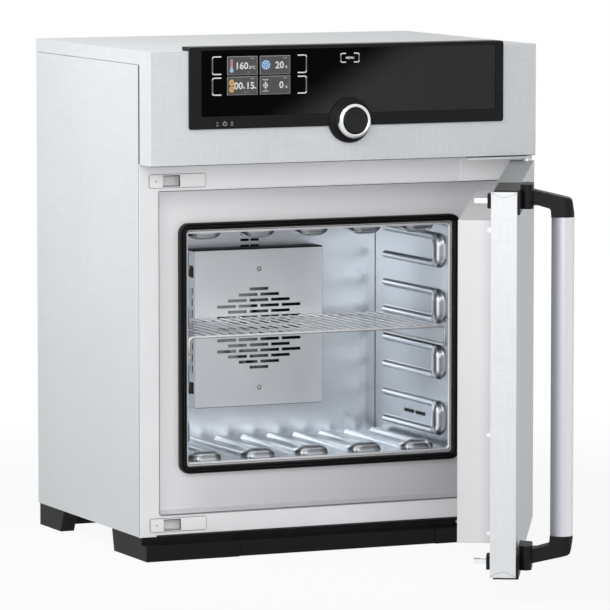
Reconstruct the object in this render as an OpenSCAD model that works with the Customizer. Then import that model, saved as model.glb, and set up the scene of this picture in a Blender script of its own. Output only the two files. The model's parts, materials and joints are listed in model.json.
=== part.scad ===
// Hot air sterilizer: a free-standing stainless cabinet with a heated chamber, a door hinged on its right
// side and a control panel above it. X runs to the right, Y to the back and Z up from the floor. The
// modules are drawn with y = 0 at the panel's front; place() then moves the origin to the middle of the
// whole box on the floor. The door's own pieces are drawn shut, and open_door() turns them to rest.

/* [Cabinet] */
// Thickness of the outer sheets
skin = 1.5; // [1:0.1:1.8]
// Height of the cabinet's underside above the floor
foot_h = 32; // [30:1:38]
// Height of the skirt round the top cover
skirt_h = 19; // [12:1:26]
// Gap between neighbouring sheets
seam = 0.5; // [0.3:0.1:0.8]
// Free space between the fan's motor and the back panel
motor_room = 18.7; // [10:0.1:60]

/* [Control panel] */
// Height of the stainless panel that holds the controls
panel_h = 156; // [150:1:162]
// How far the panel stands in front of the door frame
panel_d = 42; // [42:0.5:46]
// Width of the black display housing
housing_w = 476; // [460:1:500]
// Height of the black display housing on the panel's front
housing_h = 107; // [100:1:112]
// How far the housing stands proud of the panel
housing_t = 4; // [3:0.5:6]
// How far the housing reaches back over the top edge
housing_over = 26; // [15:1:34]
// How far the housing stands above the top cover
housing_rise = 5.5; // [3:0.5:8]
// Margin of the display housing left of its glass
glass_left = 18; // [14:0.5:24]
// Margin of the display housing right of its glass
glass_right = 12.5; // [10:0.5:20]
// Margin of the display housing below its glass
glass_below = 17.5; // [15:0.5:20]
// Margin of the display housing above its glass
glass_above = 5; // [4:0.5:8]
// Thickness of the glass
glass_t = 2; // [1.5:0.5:2.5]
// Radius of the round seat under the turn knob
knob_seat_r = 31.5; // [28:0.5:34]
// Outer radius of the turn knob's ring
knob_r = 24.5; // [22:0.5:27]
// Wall of the turn knob's ring
knob_wall = 6.5; // [5:0.5:7.5]
// How far the knob stands out from the panel
knob_reach = 25; // [22:0.5:30]
// Length of the chromed part of the knob
knob_len = 13; // [10:0.5:15]
// Travel of the knob's centre button
button_travel = 1.5; // [0.8:0.1:2]
// Width of the on and standby key
key_w = 31; // [24:1:36]
// Height of the on and standby key
key_h = 11; // [8:0.5:13]
// Travel of the on and standby key
key_travel = 0.8; // [0.5:0.1:1.2]

/* [Door seat] */
// Width of the front frame beside the recess that the door's plug enters
frame_side = 29; // [28:0.5:60]
// Height of the front frame below the recess
frame_below = 30.2; // [29:0.1:50]
// Height of the front frame above the recess
frame_above = 37.8; // [36:0.1:60]
// Width of the recess's floor beside the chamber
seat_side = 63.5; // [40:0.5:90]
// Height of the recess's floor above and below the chamber
seat_edge = 64; // [40:0.5:90]
// Depth of the recess
seat_d = 49; // [46:0.5:54]
// Width of the chamber's rubber seal
gasket_w = 9.7; // [9:0.1:14]
// Thickness of the chamber's rubber seal
gasket_t = 11.5; // [9:0.5:13]
// Steel lip between the seal and the chamber's opening
lip = 5.3; // [4:0.1:6]

/* [Chamber] */
// Inside width of the chamber
chamber_w = 400; // [300:1:600]
// Inside height of the chamber
chamber_h = 320; // [300:1:560]
// Inside depth of the chamber
chamber_d = 248; // [200:1:500]
// Thickness of the chamber's sheet
liner_t = 1; // [0.8:0.1:1.5]
// Radius of the half-round ribs
rib_r = 5; // [4:0.5:6]
// Width of the bulge that joins two ribs at the front
bulge_w = 28; // [20:1:32]
// Height of that bulge above the wall
bulge_h = 9; // [6:0.5:10]
// Thickness of the glass wool round the chamber
wool_t = 40; // [30:1:42]

/* [Fan] */
// Width of the air baffle
baffle_w = 200; // [180:1:220]
// Height of the air baffle
baffle_h = 226; // [200:1:240]
// How far the air baffle stands in front of the back wall
baffle_d = 34; // [32:0.5:38]
// Length of one air slot
air_slot_l = 29.5; // [24:0.5:29.5]
// Height of one air slot
air_slot_h = 4.3; // [2:0.1:4.5]
// Distance between rows of air slots
air_slot_pitch = 8.1; // [7:0.1:8.8]
// Radius of the fan wheel
fan_r = 80; // [60:1:86]
// Radius of the fan's shaft
shaft_r = 4; // [3:0.5:6]
// Radius of the fan's motor
motor_r = 32; // [26:1:36]

/* [Door] */
// Gap between the shut leaf and the front frame, which holds the latch boxes
latch_room = 8; // [7:0.5:12]
// Gap round the shut leaf
leaf_gap = 1; // [0.8:0.2:2]
// Gap between the leaf's top and the control panel, which holds the upper hinge
hinge_gap = 8.6; // [8:0.2:10]
// Thickness of the door's sheets
door_skin = 1.2; // [1:0.1:1.5]
// Gap between the door's plug and the recess
plug_gap = 11; // [9:0.5:14]
// Distance from the cabinet's side to the hinge axis
hinge_in = 8.5; // [8:0.5:11]
// Distance from the panel's front to the hinge axis
hinge_y = 10; // [9:0.5:12]
// Radius of the hinge pins
hinge_pin_r = 4; // [3:0.5:5]
// How far the door stands open at rest
door_open = 61.4; // [40:0.2:90]

/* [Handle and latches] */
// Radius of the handle tube
tube_r = 15; // [12:0.5:17]
// Height from the handle's pivots to the ends of its tube
arm_drop = 26; // [24:0.5:40]
// How much higher the handle's middle sits than the door's
handle_up = 7.5; // [4:0.1:8]
// How much nearer the middle the arms sit than the latches
arm_in = 2.2; // [0:0.1:3]
// Distance from the door's face to the middle of the tube
tube_reach = 58; // [50:1:62]
// Distance from the door's edge to the latches and the handle's pivots
latch_in = 46.5; // [40:0.5:50]
// Height of the latches above and below the recess
latch_off = 14.2; // [13.5:0.1:15]
// Radius of the handle's pivots
pivot_r = 8; // [7:0.5:9]
// Height of the handle's arms at their pivots
arm_h = 20; // [16:0.5:22]
// How far the arms slope towards the middle of the door
arm_slope = 11; // [6:1:14]
// How far the latch hooks reach behind the door leaf
hook_reach = 23.5; // [21:0.5:25]
// Width of the latch hooks
hook_w = 7; // [6:0.5:8]
// Length of the corner covers along the door
cover_len = 138; // [110:1:150]
// How far the corner covers stand out from the door's face
cover_proud = 3.5; // [2:0.5:5]

/* [Shelf] */
// Rib from the chamber's floor that the shelf rests on
shelf_rib = 4; // [2:1:6]
// Radius of the shelf's frame rod
rod_r = 2; // [1.5:0.25:3]
// Height of the shelf's rails above the rods that it slides on
shelf_rise = 26.5; // [15:0.5:26.5]
// Radius of the shelf's wires
wire_r = 1.3; // [1:0.1:1.6]
// Distance between the shelf's wires
wire_pitch = 15.4; // [12:0.2:20]

/* [Back] */
// Outer radius of the vent tube
vent_r = 20; // [17:0.5:24]
// Wall of the vent tube
vent_wall = 1.5; // [1:0.1:2]
// How far the vent tube stands behind the back panel
vent_out = 14; // [8:1:30]

/* [Hidden] */
$fn = 48;
fit = 0.06;
clear = 0.3;
frame_y = panel_d;
seat_y = frame_y + seat_d;
back_y = seat_y + chamber_d;
motor_len = 30;
motor_y = back_y + liner_t + clear + wool_t + 2 + skin;
cab_d = motor_y + motor_len + motor_room + skin;
seat_w = chamber_w + 2 * seat_side;
seat_h = chamber_h + 2 * seat_edge;
hx = seat_w / 2 + frame_side;
mid_z = foot_h + frame_below + seat_h / 2;
panel_z = mid_z + seat_h / 2 + frame_above;
cab_h = panel_z + panel_h;
leaf_t = panel_d - latch_room;
leaf_x = hx - leaf_gap;
leaf_z = [foot_h + leaf_gap, panel_z - hinge_gap];
skirt_z = cab_h - skirt_h;

cx = chamber_w / 2;
chamber_z = [mid_z - chamber_h / 2, mid_z + chamber_h / 2];
liner_y = seat_y + skin;
rib_count = 8;
floor_ribs = 10;
rib_pitch = chamber_h / rib_count;
floor_pitch = (chamber_w + 10) / floor_ribs;
rib_z0 = mid_z - (rib_count - 1) / 2 * rib_pitch;
rib_y = [seat_y + 30, back_y - 33];
bulge_y = seat_y + 6 + bulge_w / 2;
gasket_x = cx + lip;

pan_edge = 12;
tray_z = panel_z - 12;
wool_y = [back_y + liner_t + clear, back_y + liner_t + clear + wool_t];
heater_t = 2;
wool_x = cx + liner_t + heater_t + clear;
wool_z = [chamber_z[0] - liner_t - heater_t - clear, chamber_z[1] + liner_t + heater_t + clear];
wool_out = [hx - skin - clear, foot_h + pan_edge + clear, tray_z - clear];

baffle_y = back_y - baffle_d;
fan_y = [baffle_y + 8, back_y - 7];
baffle_screw = baffle_h / 2 - 27;
post_r = 4;
post_at = 45;
vent_z = chamber_z[1] - 35;
vent_end = cab_d + vent_out;
flap_y = cab_d - 9;
flap_t = 2;
spindle_r = 2;
sensor_r = 2.5;
sensor_x = baffle_w / 2 - 14;
sensor_z = mid_z + 1 + baffle_h / 2 - 14;

plug_x = seat_w / 2 - plug_gap;
plug_z = [mid_z - seat_h / 2 + plug_gap, mid_z + seat_h / 2 - plug_gap];
plug_y = seat_y - gasket_t - seam;
hinge_x = hx - hinge_in;
arm_t = 3;
arm_z = [foot_h - 3 - arm_t, panel_z - 2 - arm_t];
bush_r = hinge_pin_r + 3;
bush_len = 14;

latch_x = -leaf_x + latch_in;
latch_z = [mid_z - seat_h / 2 - latch_off, mid_z + seat_h / 2 + latch_off];
pivot_z = [latch_z[0] + handle_up + arm_in, latch_z[1] + handle_up - arm_in];
tube_len = pivot_z[1] - pivot_z[0] - 2 * arm_drop;
hook_h = 6;
hook_pin_y = leaf_t - 13;
hook_pin_r = 2;
nose_w = 5;
nose_l = 7.5;
box_w = 26;
box_h = 19;
box_t = frame_y - leaf_t - 1.6;
hook_slot = hook_w / 2 + 5;
strike_x = [latch_x - 32.5, latch_x + 51];
strike_t = 0.8;
strike_h = 18;
strike_slot = [25.5, 14];
pocket_d = 19;
pivot_y = -cover_proud - pivot_r;
boss_x = 17;
cover_t = 2;
lug_h = [4, 7.5];
pivot_pin_r = 3;

housing_x = [1.5 - housing_w / 2, 1.5 + housing_w / 2];
housing_z = [cab_h - housing_h, cab_h + housing_rise];
glass_x = [housing_x[0] + glass_left, housing_x[1] - glass_right];
glass_z = [housing_z[0] + glass_below, housing_z[1] - glass_above];
knob_x = 3.5;
knob_z = housing_z[0] + 7.5;
glass_y = [0.8 - housing_t, 0.8 - housing_t + glass_t];
key_x = housing_x[0] + 36.5;
key_z = housing_z[0] + 1.5;

foot_in = 2.5;
foot_y = panel_d - 17;
foot_w = 140;
foot_side = 121;
foot_slant = 8;
rear_foot = [352, 15, 21];
foot_arm = 50;
step_h = foot_h - 10.4;
lift = 0.5;

shelf_z = rib_z0 + (shelf_rib - 1) * rib_pitch;
rod_x = cx - rod_r - 1;
rod_z = shelf_z + sqrt(pow(rib_r + rod_r + clear, 2) - pow(rod_r + 1, 2));
rail_z = rod_z + shelf_rise;
shelf_y = [seat_y + 4, baffle_y - 4];
display_x = [glass_x[0] + 24, glass_x[0] + 148];
display_z = [glass_z[0] + 12, glass_z[1] - 8];
board_gap = 6;
board_y = glass_y[1] + 7 + board_gap;
power_x = [-60, 120];
power_y = [cab_d - 264, cab_d - 134];
power_z = tray_z + skin + 8;

inlet = [hx - 92.5, panel_z + 42];
inlet_size = [30, 24, 26];

// The origin stands on the floor below the middle of the whole part, its open door included
function open_y(x, y) = hinge_y + (x - hinge_x) * sin(door_open) + (y - hinge_y) * cos(door_open);
reach_y = min(open_y(latch_x, -tube_reach) - tube_r, open_y(-leaf_x, -cover_proud));
origin_y = (reach_y + vent_end) / 2;

steel = "gainsboro";
bright = "silver";
black = "dimgray";

// Moves the cabinet's own frame to the part's frame
module place() { translate([0, -origin_y, 0]) children(); }

// Turns the shut door about its hinge axis to where it stands at rest
module open_door() {
    place() translate([hinge_x, hinge_y, 0]) rotate([0, 0, door_open]) translate([-hinge_x, -hinge_y, 0])
        children();
}

// A block between two corners, each axis as a pair of low and high
module block(x, y, z) {
    translate([x[0], y[0], z[0]]) cube([x[1] - x[0], y[1] - y[0], z[1] - z[0]]);
}

// An outline in the X and Z plane, as thick as from y0 to y1
module upright(y0, y1) {
    translate([0, y1, 0]) rotate([90, 0, 0]) linear_extrude(y1 - y0) children();
}

// A round bar along Y
module bar_y(x, z, y0, y1, r) {
    translate([x, y0, z]) rotate([-90, 0, 0]) cylinder(h = y1 - y0, r = r);
}

// A rectangle with round corners about a middle point
module round_rect(w, h, r) {
    square([w - 2 * r, h], center = true);
    square([w, h - 2 * r], center = true);
    for (sx = [-1, 1], sy = [-1, 1])
        translate([sx * (w / 2 - r), sy * (h / 2 - r)]) circle(r);
}

// A box of sheet, open at its front, with its inside given
module open_box(x, y, z, t) {
    difference() {
        block([x[0] - t, x[1] + t], [y[0], y[1] + t], [z[0] - t, z[1] + t]);
        block(x, [y[0] - 1, y[1]], z);
    }
}

module base_pan() {
    edge = pan_edge;
    color(steel) place() difference() {
        block([-hx + skin, hx - skin], [frame_y + skin, cab_d - skin], [foot_h, foot_h + edge]);
        block([-hx + 2 * skin, hx - 2 * skin], [frame_y, cab_d - 2 * skin], [foot_h + skin, foot_h + edge + 1]);
    }
}

module side_panel(side) {
    color(steel) place() mirror([side > 0 ? 1 : 0, 0, 0]) {
        block([-hx, -hx + skin], [frame_y + skin + seam, cab_d], [foot_h, skirt_z - seam]);
        block([-hx, -hx + 12], [frame_y + skin + seam, frame_y + 2 * skin + seam],
            [foot_h + 14, tray_z - 2]);
    }
}
module side_panel_left() { side_panel(-1); }
module side_panel_right() { side_panel(1); }

module back_panel() {
    louvre = [60, 4];
    color(steel) place() difference() {
        block([-hx + skin, hx - skin], [cab_d - skin, cab_d], [foot_h, skirt_z - seam]);
        bar_y(0, vent_z, cab_d - 2 * skin, cab_d + 1, vent_r + clear);
        block([inlet[0] - inlet_size[0] / 2, inlet[0] + inlet_size[0] / 2], [cab_d - 2 * skin, cab_d + 1],
            [inlet[1] - inlet_size[1] / 2, inlet[1] + inlet_size[1] / 2]);
        for (col = [-1, 0, 1], row = [0 : 5])
            translate([-120 + col * 74, cab_d - skin, panel_z + 20 + row * 12])
                cube([louvre[0], 4 * skin, louvre[1]], center = true);
        back_screw_places() translate([0, skin, 0]) rotate([90, 0, 0]) cylinder(h = 4 * skin, r = 1.5 + clear);
    }
}

module top_cover() {
    color(steel) place() difference() {
        block([-hx, hx], [frame_y, cab_d], [skirt_z, cab_h]);
        block([-hx + skin, hx - skin], [frame_y - 1, cab_d - skin], [skirt_z - 1, cab_h - skin]);
    }
}

module front_frame() {
    color(steel) place() difference() {
        block([-hx, hx], [frame_y, frame_y + skin], [foot_h, panel_z]);
        block([-seat_w / 2 - skin, seat_w / 2 + skin], [0, seat_y],
            [mid_z - seat_h / 2 - skin, mid_z + seat_h / 2 + skin]);
        for (z = latch_z) strike_hole(z, seam);
    }
}

// The space that a strike's pocket takes up behind the frame
module strike_hole(z, gap) {
    block([latch_x - strike_slot[0] / 2 - skin - gap, latch_x + strike_slot[0] / 2 + 9 + gap],
        [frame_y - 1, frame_y + pocket_d + 1],
            [z - strike_slot[1] / 2 - skin - gap, z + strike_slot[1] / 2 + skin + gap]);
}

module door_seat() {
    color(steel) place() difference() {
        block([-seat_w / 2 - skin, seat_w / 2 + skin], [frame_y, seat_y + skin],
            [mid_z - seat_h / 2 - skin, mid_z + seat_h / 2 + skin]);
        block([-seat_w / 2, seat_w / 2], [0, seat_y], [mid_z - seat_h / 2, mid_z + seat_h / 2]);
        block([-cx, cx], [0, back_y], chamber_z);
    }
}

// Two half-round ribs joined by a bulge at the front, standing on the plane z = 0 and running along Y
module rib_pair(pitch) {
    for (s = [-1, 1]) translate([s * pitch / 2, 0, 0]) difference() {
        bar_y(0, 0, rib_y[0] - 12, rib_y[1], rib_r);
        block([-rib_r - 1, rib_r + 1], [0, back_y], [-rib_r - 1, -liner_t / 2]);
    }
    arc_r = (pow(bulge_w / 2, 2) + pow(bulge_h, 2)) / (2 * bulge_h);
    half = pitch / 2 + rib_r - 1;
    intersection() {
        translate([-half, bulge_y, bulge_h - arc_r]) rotate([0, 90, 0]) cylinder(h = 2 * half, r = arc_r);
        block([-half, half], [bulge_y - bulge_w, bulge_y + bulge_w], [-liner_t / 2, bulge_h + 1]);
    }
}

module chamber() {
    flange = 9;
    color(bright) place() difference() {
        union() {
            open_box([-cx, cx], [liner_y, back_y], chamber_z, liner_t);
            difference() {
                block([-cx - flange, cx + flange], [liner_y, liner_y + liner_t],
                    [chamber_z[0] - flange, chamber_z[1] + flange]);
                block([-cx, cx], [0, back_y], chamber_z);
            }
            for (side = [0, 1], pair = [0 : rib_count / 2 - 1]) mirror([side, 0, 0])
                translate([-cx, 0, rib_z0 + (2 * pair + 0.5) * rib_pitch]) rotate([0, 90, 0])
                    rib_pair(rib_pitch);
            for (pair = [0 : floor_ribs / 2 - 1])
                translate([(2 * pair + 0.5 - (floor_ribs - 1) / 2) * floor_pitch, 0, 0]) {
                    translate([0, 0, chamber_z[0]]) rib_pair(floor_pitch);
                    translate([0, 0, chamber_z[1]]) mirror([0, 0, 1]) rib_pair(floor_pitch);
                }
        }
        bar_y(0, mid_z, back_y - 1, back_y + 2 * liner_t, shaft_r + 1);
        bar_y(sensor_x, sensor_z, back_y - 1, back_y + 2 * liner_t, sensor_r + fit);
        for (row = [0 : 2], s = [-1, 1])
            translate([s * 7.7, back_y, vent_z + 8.8 - row * 8.8]) cube([13.5, 6 * liner_t, 4], center = true);
        for (s = [-1, 1])
            translate([cx, seat_y + 110 + s * 17.5, rib_z0 + rib_pitch / 2])
                cube([6 * liner_t, 29, 2.6], center = true);
    }
}

module chamber_gasket() {
    w = 2 * gasket_x;
    h = chamber_h + 2 * lip;
    ridge = gasket_w / 3;
    color(black) place() translate([0, 0, mid_z]) for (step = [0 : 2]) {
        outer = 2 * gasket_w - 2 * (step == 0 ? 0 : ridge * (step == 1 ? 0.5 : 2.0));
        inner = step == 2 ? 2 * ridge * 0.35 : (step == 1 ? 2 * ridge * 1.35 : 0);
        y = step == 0 ? seat_y - gasket_t + 2.5 : seat_y - gasket_t;
        y1 = step == 0 ? seat_y : seat_y - gasket_t + 2.5;
        upright(y, y1) difference() {
            round_rect(w + outer, h + outer, 6 + outer / 2);
            round_rect(w + inner, h + inner, 5 + inner / 2);
        }
    }
}

module air_slots(t) {
    counts = [1, 2, 3, 4, 3, 4, 3, 4, 3, 4, 3, 4, 3, 2, 1];
    pitch = air_slot_l + 4.3;
    for (row = [0 : len(counts) - 1], i = [0 : counts[row] - 1])
        translate([(i - (counts[row] - 1) / 2) * pitch, 0, mid_z + (7 - row) * air_slot_pitch])
            cube([air_slot_l, t, air_slot_h], center = true);
}

module air_baffle() {
    x = baffle_w / 2;
    z = [mid_z + 1 - baffle_h / 2, mid_z + 1 + baffle_h / 2];
    color(bright) place() difference() {
        block([-x, x], [baffle_y, back_y], z);
        block([-x + liner_t, x - liner_t], [baffle_y + liner_t, back_y + 1], [z[0] + liner_t, z[1] - liner_t]);
        translate([0, baffle_y, 0]) air_slots(6 * liner_t);
        for (s = [-1, 1]) translate([0, baffle_y, mid_z + s * baffle_screw]) rotate([90, 0, 0])
            cylinder(h = 6 * liner_t, r = 2.1, center = true);
        for (s = [-1, 1], up = [-1, 1]) translate([s * x, baffle_y + 18, mid_z + up * (baffle_h / 2 - 28)])
            cube([6 * liner_t, 15, 16], center = true);
        for (s = [-1, 1], at = [-1, 0, 1], k = [-1.5 : 1.5])
            translate([s * x, baffle_y + 17 + at * 6, mid_z + k * (baffle_h / 7) + at * 7])
                cube([6 * liner_t, 1.6, baffle_h / 7 - 8], center = true);
    }
}

// A screw head of radius r on a shank, pointing towards -Y from y
module screw(x, y, z, r, shank) {
    bar_y(x, z, y - 2, y, r);
    bar_y(x, z, y, y + shank, r / 2);
}

module baffle_screws() {
    color(bright) place() for (s = [-1, 1]) {
        screw(0, baffle_y, mid_z + s * baffle_screw, 4, baffle_d);
        bar_y(0, mid_z + s * baffle_screw, baffle_y + liner_t, back_y, 3.5);
    }
}

module fan_wheel() {
    blades = 16;
    hub_r = shaft_r + 8;
    color(steel) place() translate([0, 0, mid_z]) difference() {
        union() {
            bar_y(0, 0, fan_y[1] - 1.5, fan_y[1], fan_r);
            bar_y(0, 0, fan_y[0], fan_y[1], hub_r);
            for (k = [0 : blades - 1]) rotate([0, k * 360 / blades, 0])
                translate([fan_r - 24, 0, 0]) rotate([0, 35, 0])
                block([0, 22], [fan_y[0], fan_y[1]], [-0.8, 0.8]);
        }
        bar_y(0, 0, fan_y[0] - 1, fan_y[1] + 1, shaft_r);
    }
}

module fan_shaft() { color(bright) place() bar_y(0, mid_z, fan_y[0] - 1, motor_y + 6, shaft_r); }

module motor_bracket() {
    plate = post_at + 12;
    color(steel) place() translate([0, 0, mid_z]) difference() {
        union() {
            block([-plate, plate], [motor_y - skin, motor_y], [-plate, plate]);
            for (sx = [-1, 1], sz = [-1, 1])
                bar_y(sx * post_at, sz * post_at, back_y + liner_t, motor_y, post_r);
        }
        bar_y(0, 0, motor_y - 2 * skin, motor_y + 1, 12);
    }
}

module fan_motor() {
    color(black) place() translate([0, 0, mid_z]) difference() {
        union() {
            bar_y(0, 0, motor_y, motor_y + motor_len, motor_r);
            bar_y(0, 0, motor_y - 6, motor_y, 11);
        }
        bar_y(0, 0, motor_y - 7, motor_y + 20, shaft_r + fit);
    }
}

module heaters() {
    margin = 12;
    y = [liner_y + margin, back_y - margin];
    color("peru") place() {
        for (side = [0, 1]) mirror([side, 0, 0])
            block([-cx - liner_t - heater_t, -cx - liner_t], y, [chamber_z[0] + margin, chamber_z[1] - margin]);
        block([-cx + margin, cx - margin], y, [chamber_z[1] + liner_t, chamber_z[1] + liner_t + heater_t]);
        block([-cx + margin, cx - margin], y, [chamber_z[0] - liner_t - heater_t, chamber_z[0] - liner_t]);
    }
}

module insulation_sides() {
    color("khaki") place() for (side = [0, 1]) mirror([side, 0, 0])
        block([-wool_out[0], -wool_x], [liner_y + liner_t + clear, back_y], [wool_out[1], wool_out[2]]);
}

module insulation_top_bottom() {
    color("khaki") place() {
        block([-wool_x, wool_x], [liner_y + liner_t + clear, back_y], [wool_z[1], wool_out[2]]);
        block([-wool_x, wool_x], [liner_y + liner_t + clear, back_y], [wool_out[1], wool_z[0]]);
    }
}

module insulation_back() {
    color("khaki") place() difference() {
        block([-wool_out[0], wool_out[0]], wool_y, [wool_out[1], wool_out[2]]);
        bar_y(0, mid_z, wool_y[0] - 1, wool_y[1] + 1, 12);
        bar_y(0, vent_z, wool_y[0] - 1, wool_y[1] + 1, vent_r + clear);
        bar_y(sensor_x, sensor_z, wool_y[0] - 1, wool_y[1] + 1, 9);
        for (sx = [-1, 1], sz = [-1, 1])
            bar_y(sx * post_at, mid_z + sz * post_at, wool_y[0] - 1, wool_y[1] + 1, post_r + clear);
    }
}

module temperature_sensor() {
    color(bright) place() {
        bar_y(sensor_x, sensor_z, back_y - 16, back_y + liner_t + 30, sensor_r);
        bar_y(sensor_x, sensor_z, back_y + liner_t, back_y + liner_t + 3, 8);
    }
}

module vent_tube() {
    color(bright) place() difference() {
        union() {
            bar_y(0, vent_z, back_y + liner_t, cab_d + 1, vent_r);
            bar_y(0, vent_z, cab_d, vent_end, vent_r - 0.5);
        }
        bar_y(0, vent_z, back_y, vent_end + 1, vent_r - vent_wall);
        translate([-vent_r - 1, flap_y, vent_z]) rotate([0, 90, 0])
            cylinder(h = 2 * vent_r + 2, r = spindle_r + fit);
    }
}

module vent_flap() {
    color(steel) place() {
        bar_y(0, vent_z, flap_y - flap_t / 2, flap_y + flap_t / 2, vent_r - vent_wall - 0.6);
        translate([-vent_r, flap_y, vent_z]) rotate([0, 90, 0]) cylinder(h = 2 * vent_r + 8, r = spindle_r);
    }
}

module vent_drive() {
    color(black) place() difference() {
        block([vent_r + 1, vent_r + 31], [flap_y - 16, cab_d - skin], [vent_z - 14, vent_z + 14]);
        translate([vent_r, flap_y, vent_z]) rotate([0, 90, 0]) cylinder(h = 12, r = spindle_r + fit);
    }
}

module electronics_tray() {
    x = hx - skin;
    color(steel) place() difference() {
        block([-x, x], [frame_y + skin, cab_d - skin], [tray_z, tray_z + 12]);
        block([-x + skin, x - skin], [frame_y, cab_d - 2 * skin], [tray_z + skin, tray_z + 13]);
    }
}

// A circuit board with parts on it, its underside at z on posts that stand on the tray
module power_board() {
    z = [power_z, power_z + 1.6];
    color("seagreen") place() {
        block(power_x, power_y, z);
        for (x = [power_x[0] + 10, power_x[1] - 10], y = [power_y[0] + 10, power_y[1] - 10])
            translate([x, y, tray_z + skin]) cylinder(h = power_z - tray_z - skin, r = 3);
        translate([power_x[0] + 20, power_y[0] + 20, z[1]]) cube([50, 50, 40]);
        translate([power_x[0] + 90, power_y[0] + 20, z[1]]) cube([30, 90, 24]);
        for (k = [0 : 3]) translate([power_x[1] - 35, power_y[0] + 25 + k * 25, z[1]]) cylinder(h = 24, r = 8);
    }
}

module display_module() {
    color(black) place() block(display_x, [glass_y[1], board_y - board_gap], display_z);
}

module control_board() {
    y = [board_y, board_y + 1.6];
    color("seagreen") place() {
        block([display_x[0] - 4, knob_x + 70], y, [housing_z[0] + 2, display_z[1] + 2]);
        for (x = [display_x[0] + 6, display_x[1] - 6], z = [display_z[0] + 8, display_z[1] - 8])
            bar_y(x, z, board_y - board_gap, board_y, 3);
        translate([display_x[0] + 36, y[1], display_z[0] + 8]) cube([50, 10, 30]);
    }
}

module mains_inlet() {
    w = inlet_size[0];
    h = inlet_size[1];
    color(black) place() translate([inlet[0], 0, inlet[1]]) difference() {
        union() {
            block([-w / 2, w / 2], [cab_d - inlet_size[2], cab_d], [-h / 2, h / 2]);
            block([-w / 2 - 4, w / 2 + 4], [cab_d, cab_d + 2], [-h / 2 - 4, h / 2 + 4]);
        }
        block([-w / 2 + 3, w / 2 - 3], [cab_d - 16, cab_d + 3], [-h / 2 + 4, h / 2 - 4]);
    }
}

// The places of the screws on the back panel's outside
module back_screw_places() {
    for (x = [-hx + 14, 0, hx - 14], z = [foot_h + 20, skirt_z - 14]) translate([x, cab_d, z]) children();
}

module back_screws() {
    color(bright) place() back_screw_places() rotate([90, 0, 0]) {
        translate([0, 0, -1.6]) cylinder(h = 1.6, r = 4);
        cylinder(h = 7, r = 1.5);
    }
}

module control_panel() {
    z = [panel_z, cab_h];
    hole = 14;
    color(steel) place() difference() {
        block([-hx, hx], [0, frame_y - seam], z);
        block([-hx + skin, hx - skin], [skin, frame_y], [z[0] + skin, z[1] - skin]);
        block([display_x[0] - 12, display_x[1] + 12], [-1, 2 * skin], [display_z[0] - 6, display_z[1] + 4]);
        bar_y(knob_x, knob_z, -1, 2 * skin, hole);
        block([key_x + 4, key_x + key_w - 4], [-1, 2 * skin], [key_z + 2, key_z + key_h - 2]);
    }
}

module display_housing() {
    r = 3;
    w = housing_x[1] - housing_x[0];
    h = housing_z[1] - housing_z[0];
    color(black) place() difference() {
        union() {
            upright(-housing_t, 0) translate([housing_x[0] + w / 2, housing_z[0] + h / 2]) round_rect(w, h, r);
            block([housing_x[0] + r / 2, housing_x[1] - r / 2], [-1, housing_over], [cab_h, housing_z[1]]);
            bar_y(knob_x, knob_z, -housing_t - 1.5, 0, knob_seat_r);
        }
        block([glass_x[0] - clear, glass_x[1] + clear], [-housing_t - 1, glass_y[1]],
            [glass_z[0] - clear, glass_z[1] + clear]);
        block([display_x[0] - 10, display_x[1] + 10], [-housing_t - 1, 1], [display_z[0] - 4, display_z[1] + 2]);
        block([key_x - clear, key_x + key_w + clear],
            [-housing_t - 1, 1], [key_z - clear, key_z + key_h + clear]);
        bar_y(knob_x, knob_z, -housing_t - 3, 1, 9);
    }
    color(black) place() difference() {
        bar_y(knob_x, knob_z, -housing_t - 1.5, 0, knob_seat_r);
        bar_y(knob_x, knob_z, -housing_t - 3, 1, 9);
        block([key_x - clear, key_x + key_w + clear],
            [-housing_t - 3, 1], [key_z - clear, key_z + key_h + clear]);
    }
}

module display_glass() {
    color("black") place() difference() {
        block(glass_x, glass_y, glass_z);
        bar_y(knob_x, knob_z, -housing_t - 1, 1, knob_seat_r + clear);
    }
}

module knob_ring() {
    front = -knob_reach;
    collar = -housing_t - 2.5;
    color(bright) place() difference() {
        union() {
            bar_y(knob_x, knob_z, front, front + knob_len, knob_r);
            bar_y(knob_x, knob_z, front + knob_len, collar, knob_r - 1.5);
            bar_y(knob_x, knob_z, collar, 6, 7);
        }
        bar_y(knob_x, knob_z, front - 1, collar - 3, knob_r - knob_wall);
        bar_y(knob_x, knob_z, front, 7, 3 + 2 * clear);
    }
}

module knob_button() {
    front = -knob_reach + 0.8;
    color("black") place() {
        bar_y(knob_x, knob_z, front, front + 9, knob_r - knob_wall - clear);
        bar_y(knob_x, knob_z, front + 9, 8, 3);
    }
}

module knob_encoder() {
    color(black) place() difference() {
        block([knob_x - 11, knob_x + 11], [2, board_y], [knob_z - 11, knob_z + 11]);
        bar_y(knob_x, knob_z, 1, 6 + clear, 7 + clear);
        bar_y(knob_x, knob_z, 1, 8 + button_travel + clear, 3 + clear);
    }
}

module power_key() {
    color(black) place() {
        block([key_x, key_x + key_w], [-housing_t - 0.5, -key_travel - clear], [key_z, key_z + key_h]);
        block([key_x + 5, key_x + key_w - 5],
            [-2, board_y - key_travel - clear], [key_z + 3, key_z + key_h - 3]);
    }
}

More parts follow.
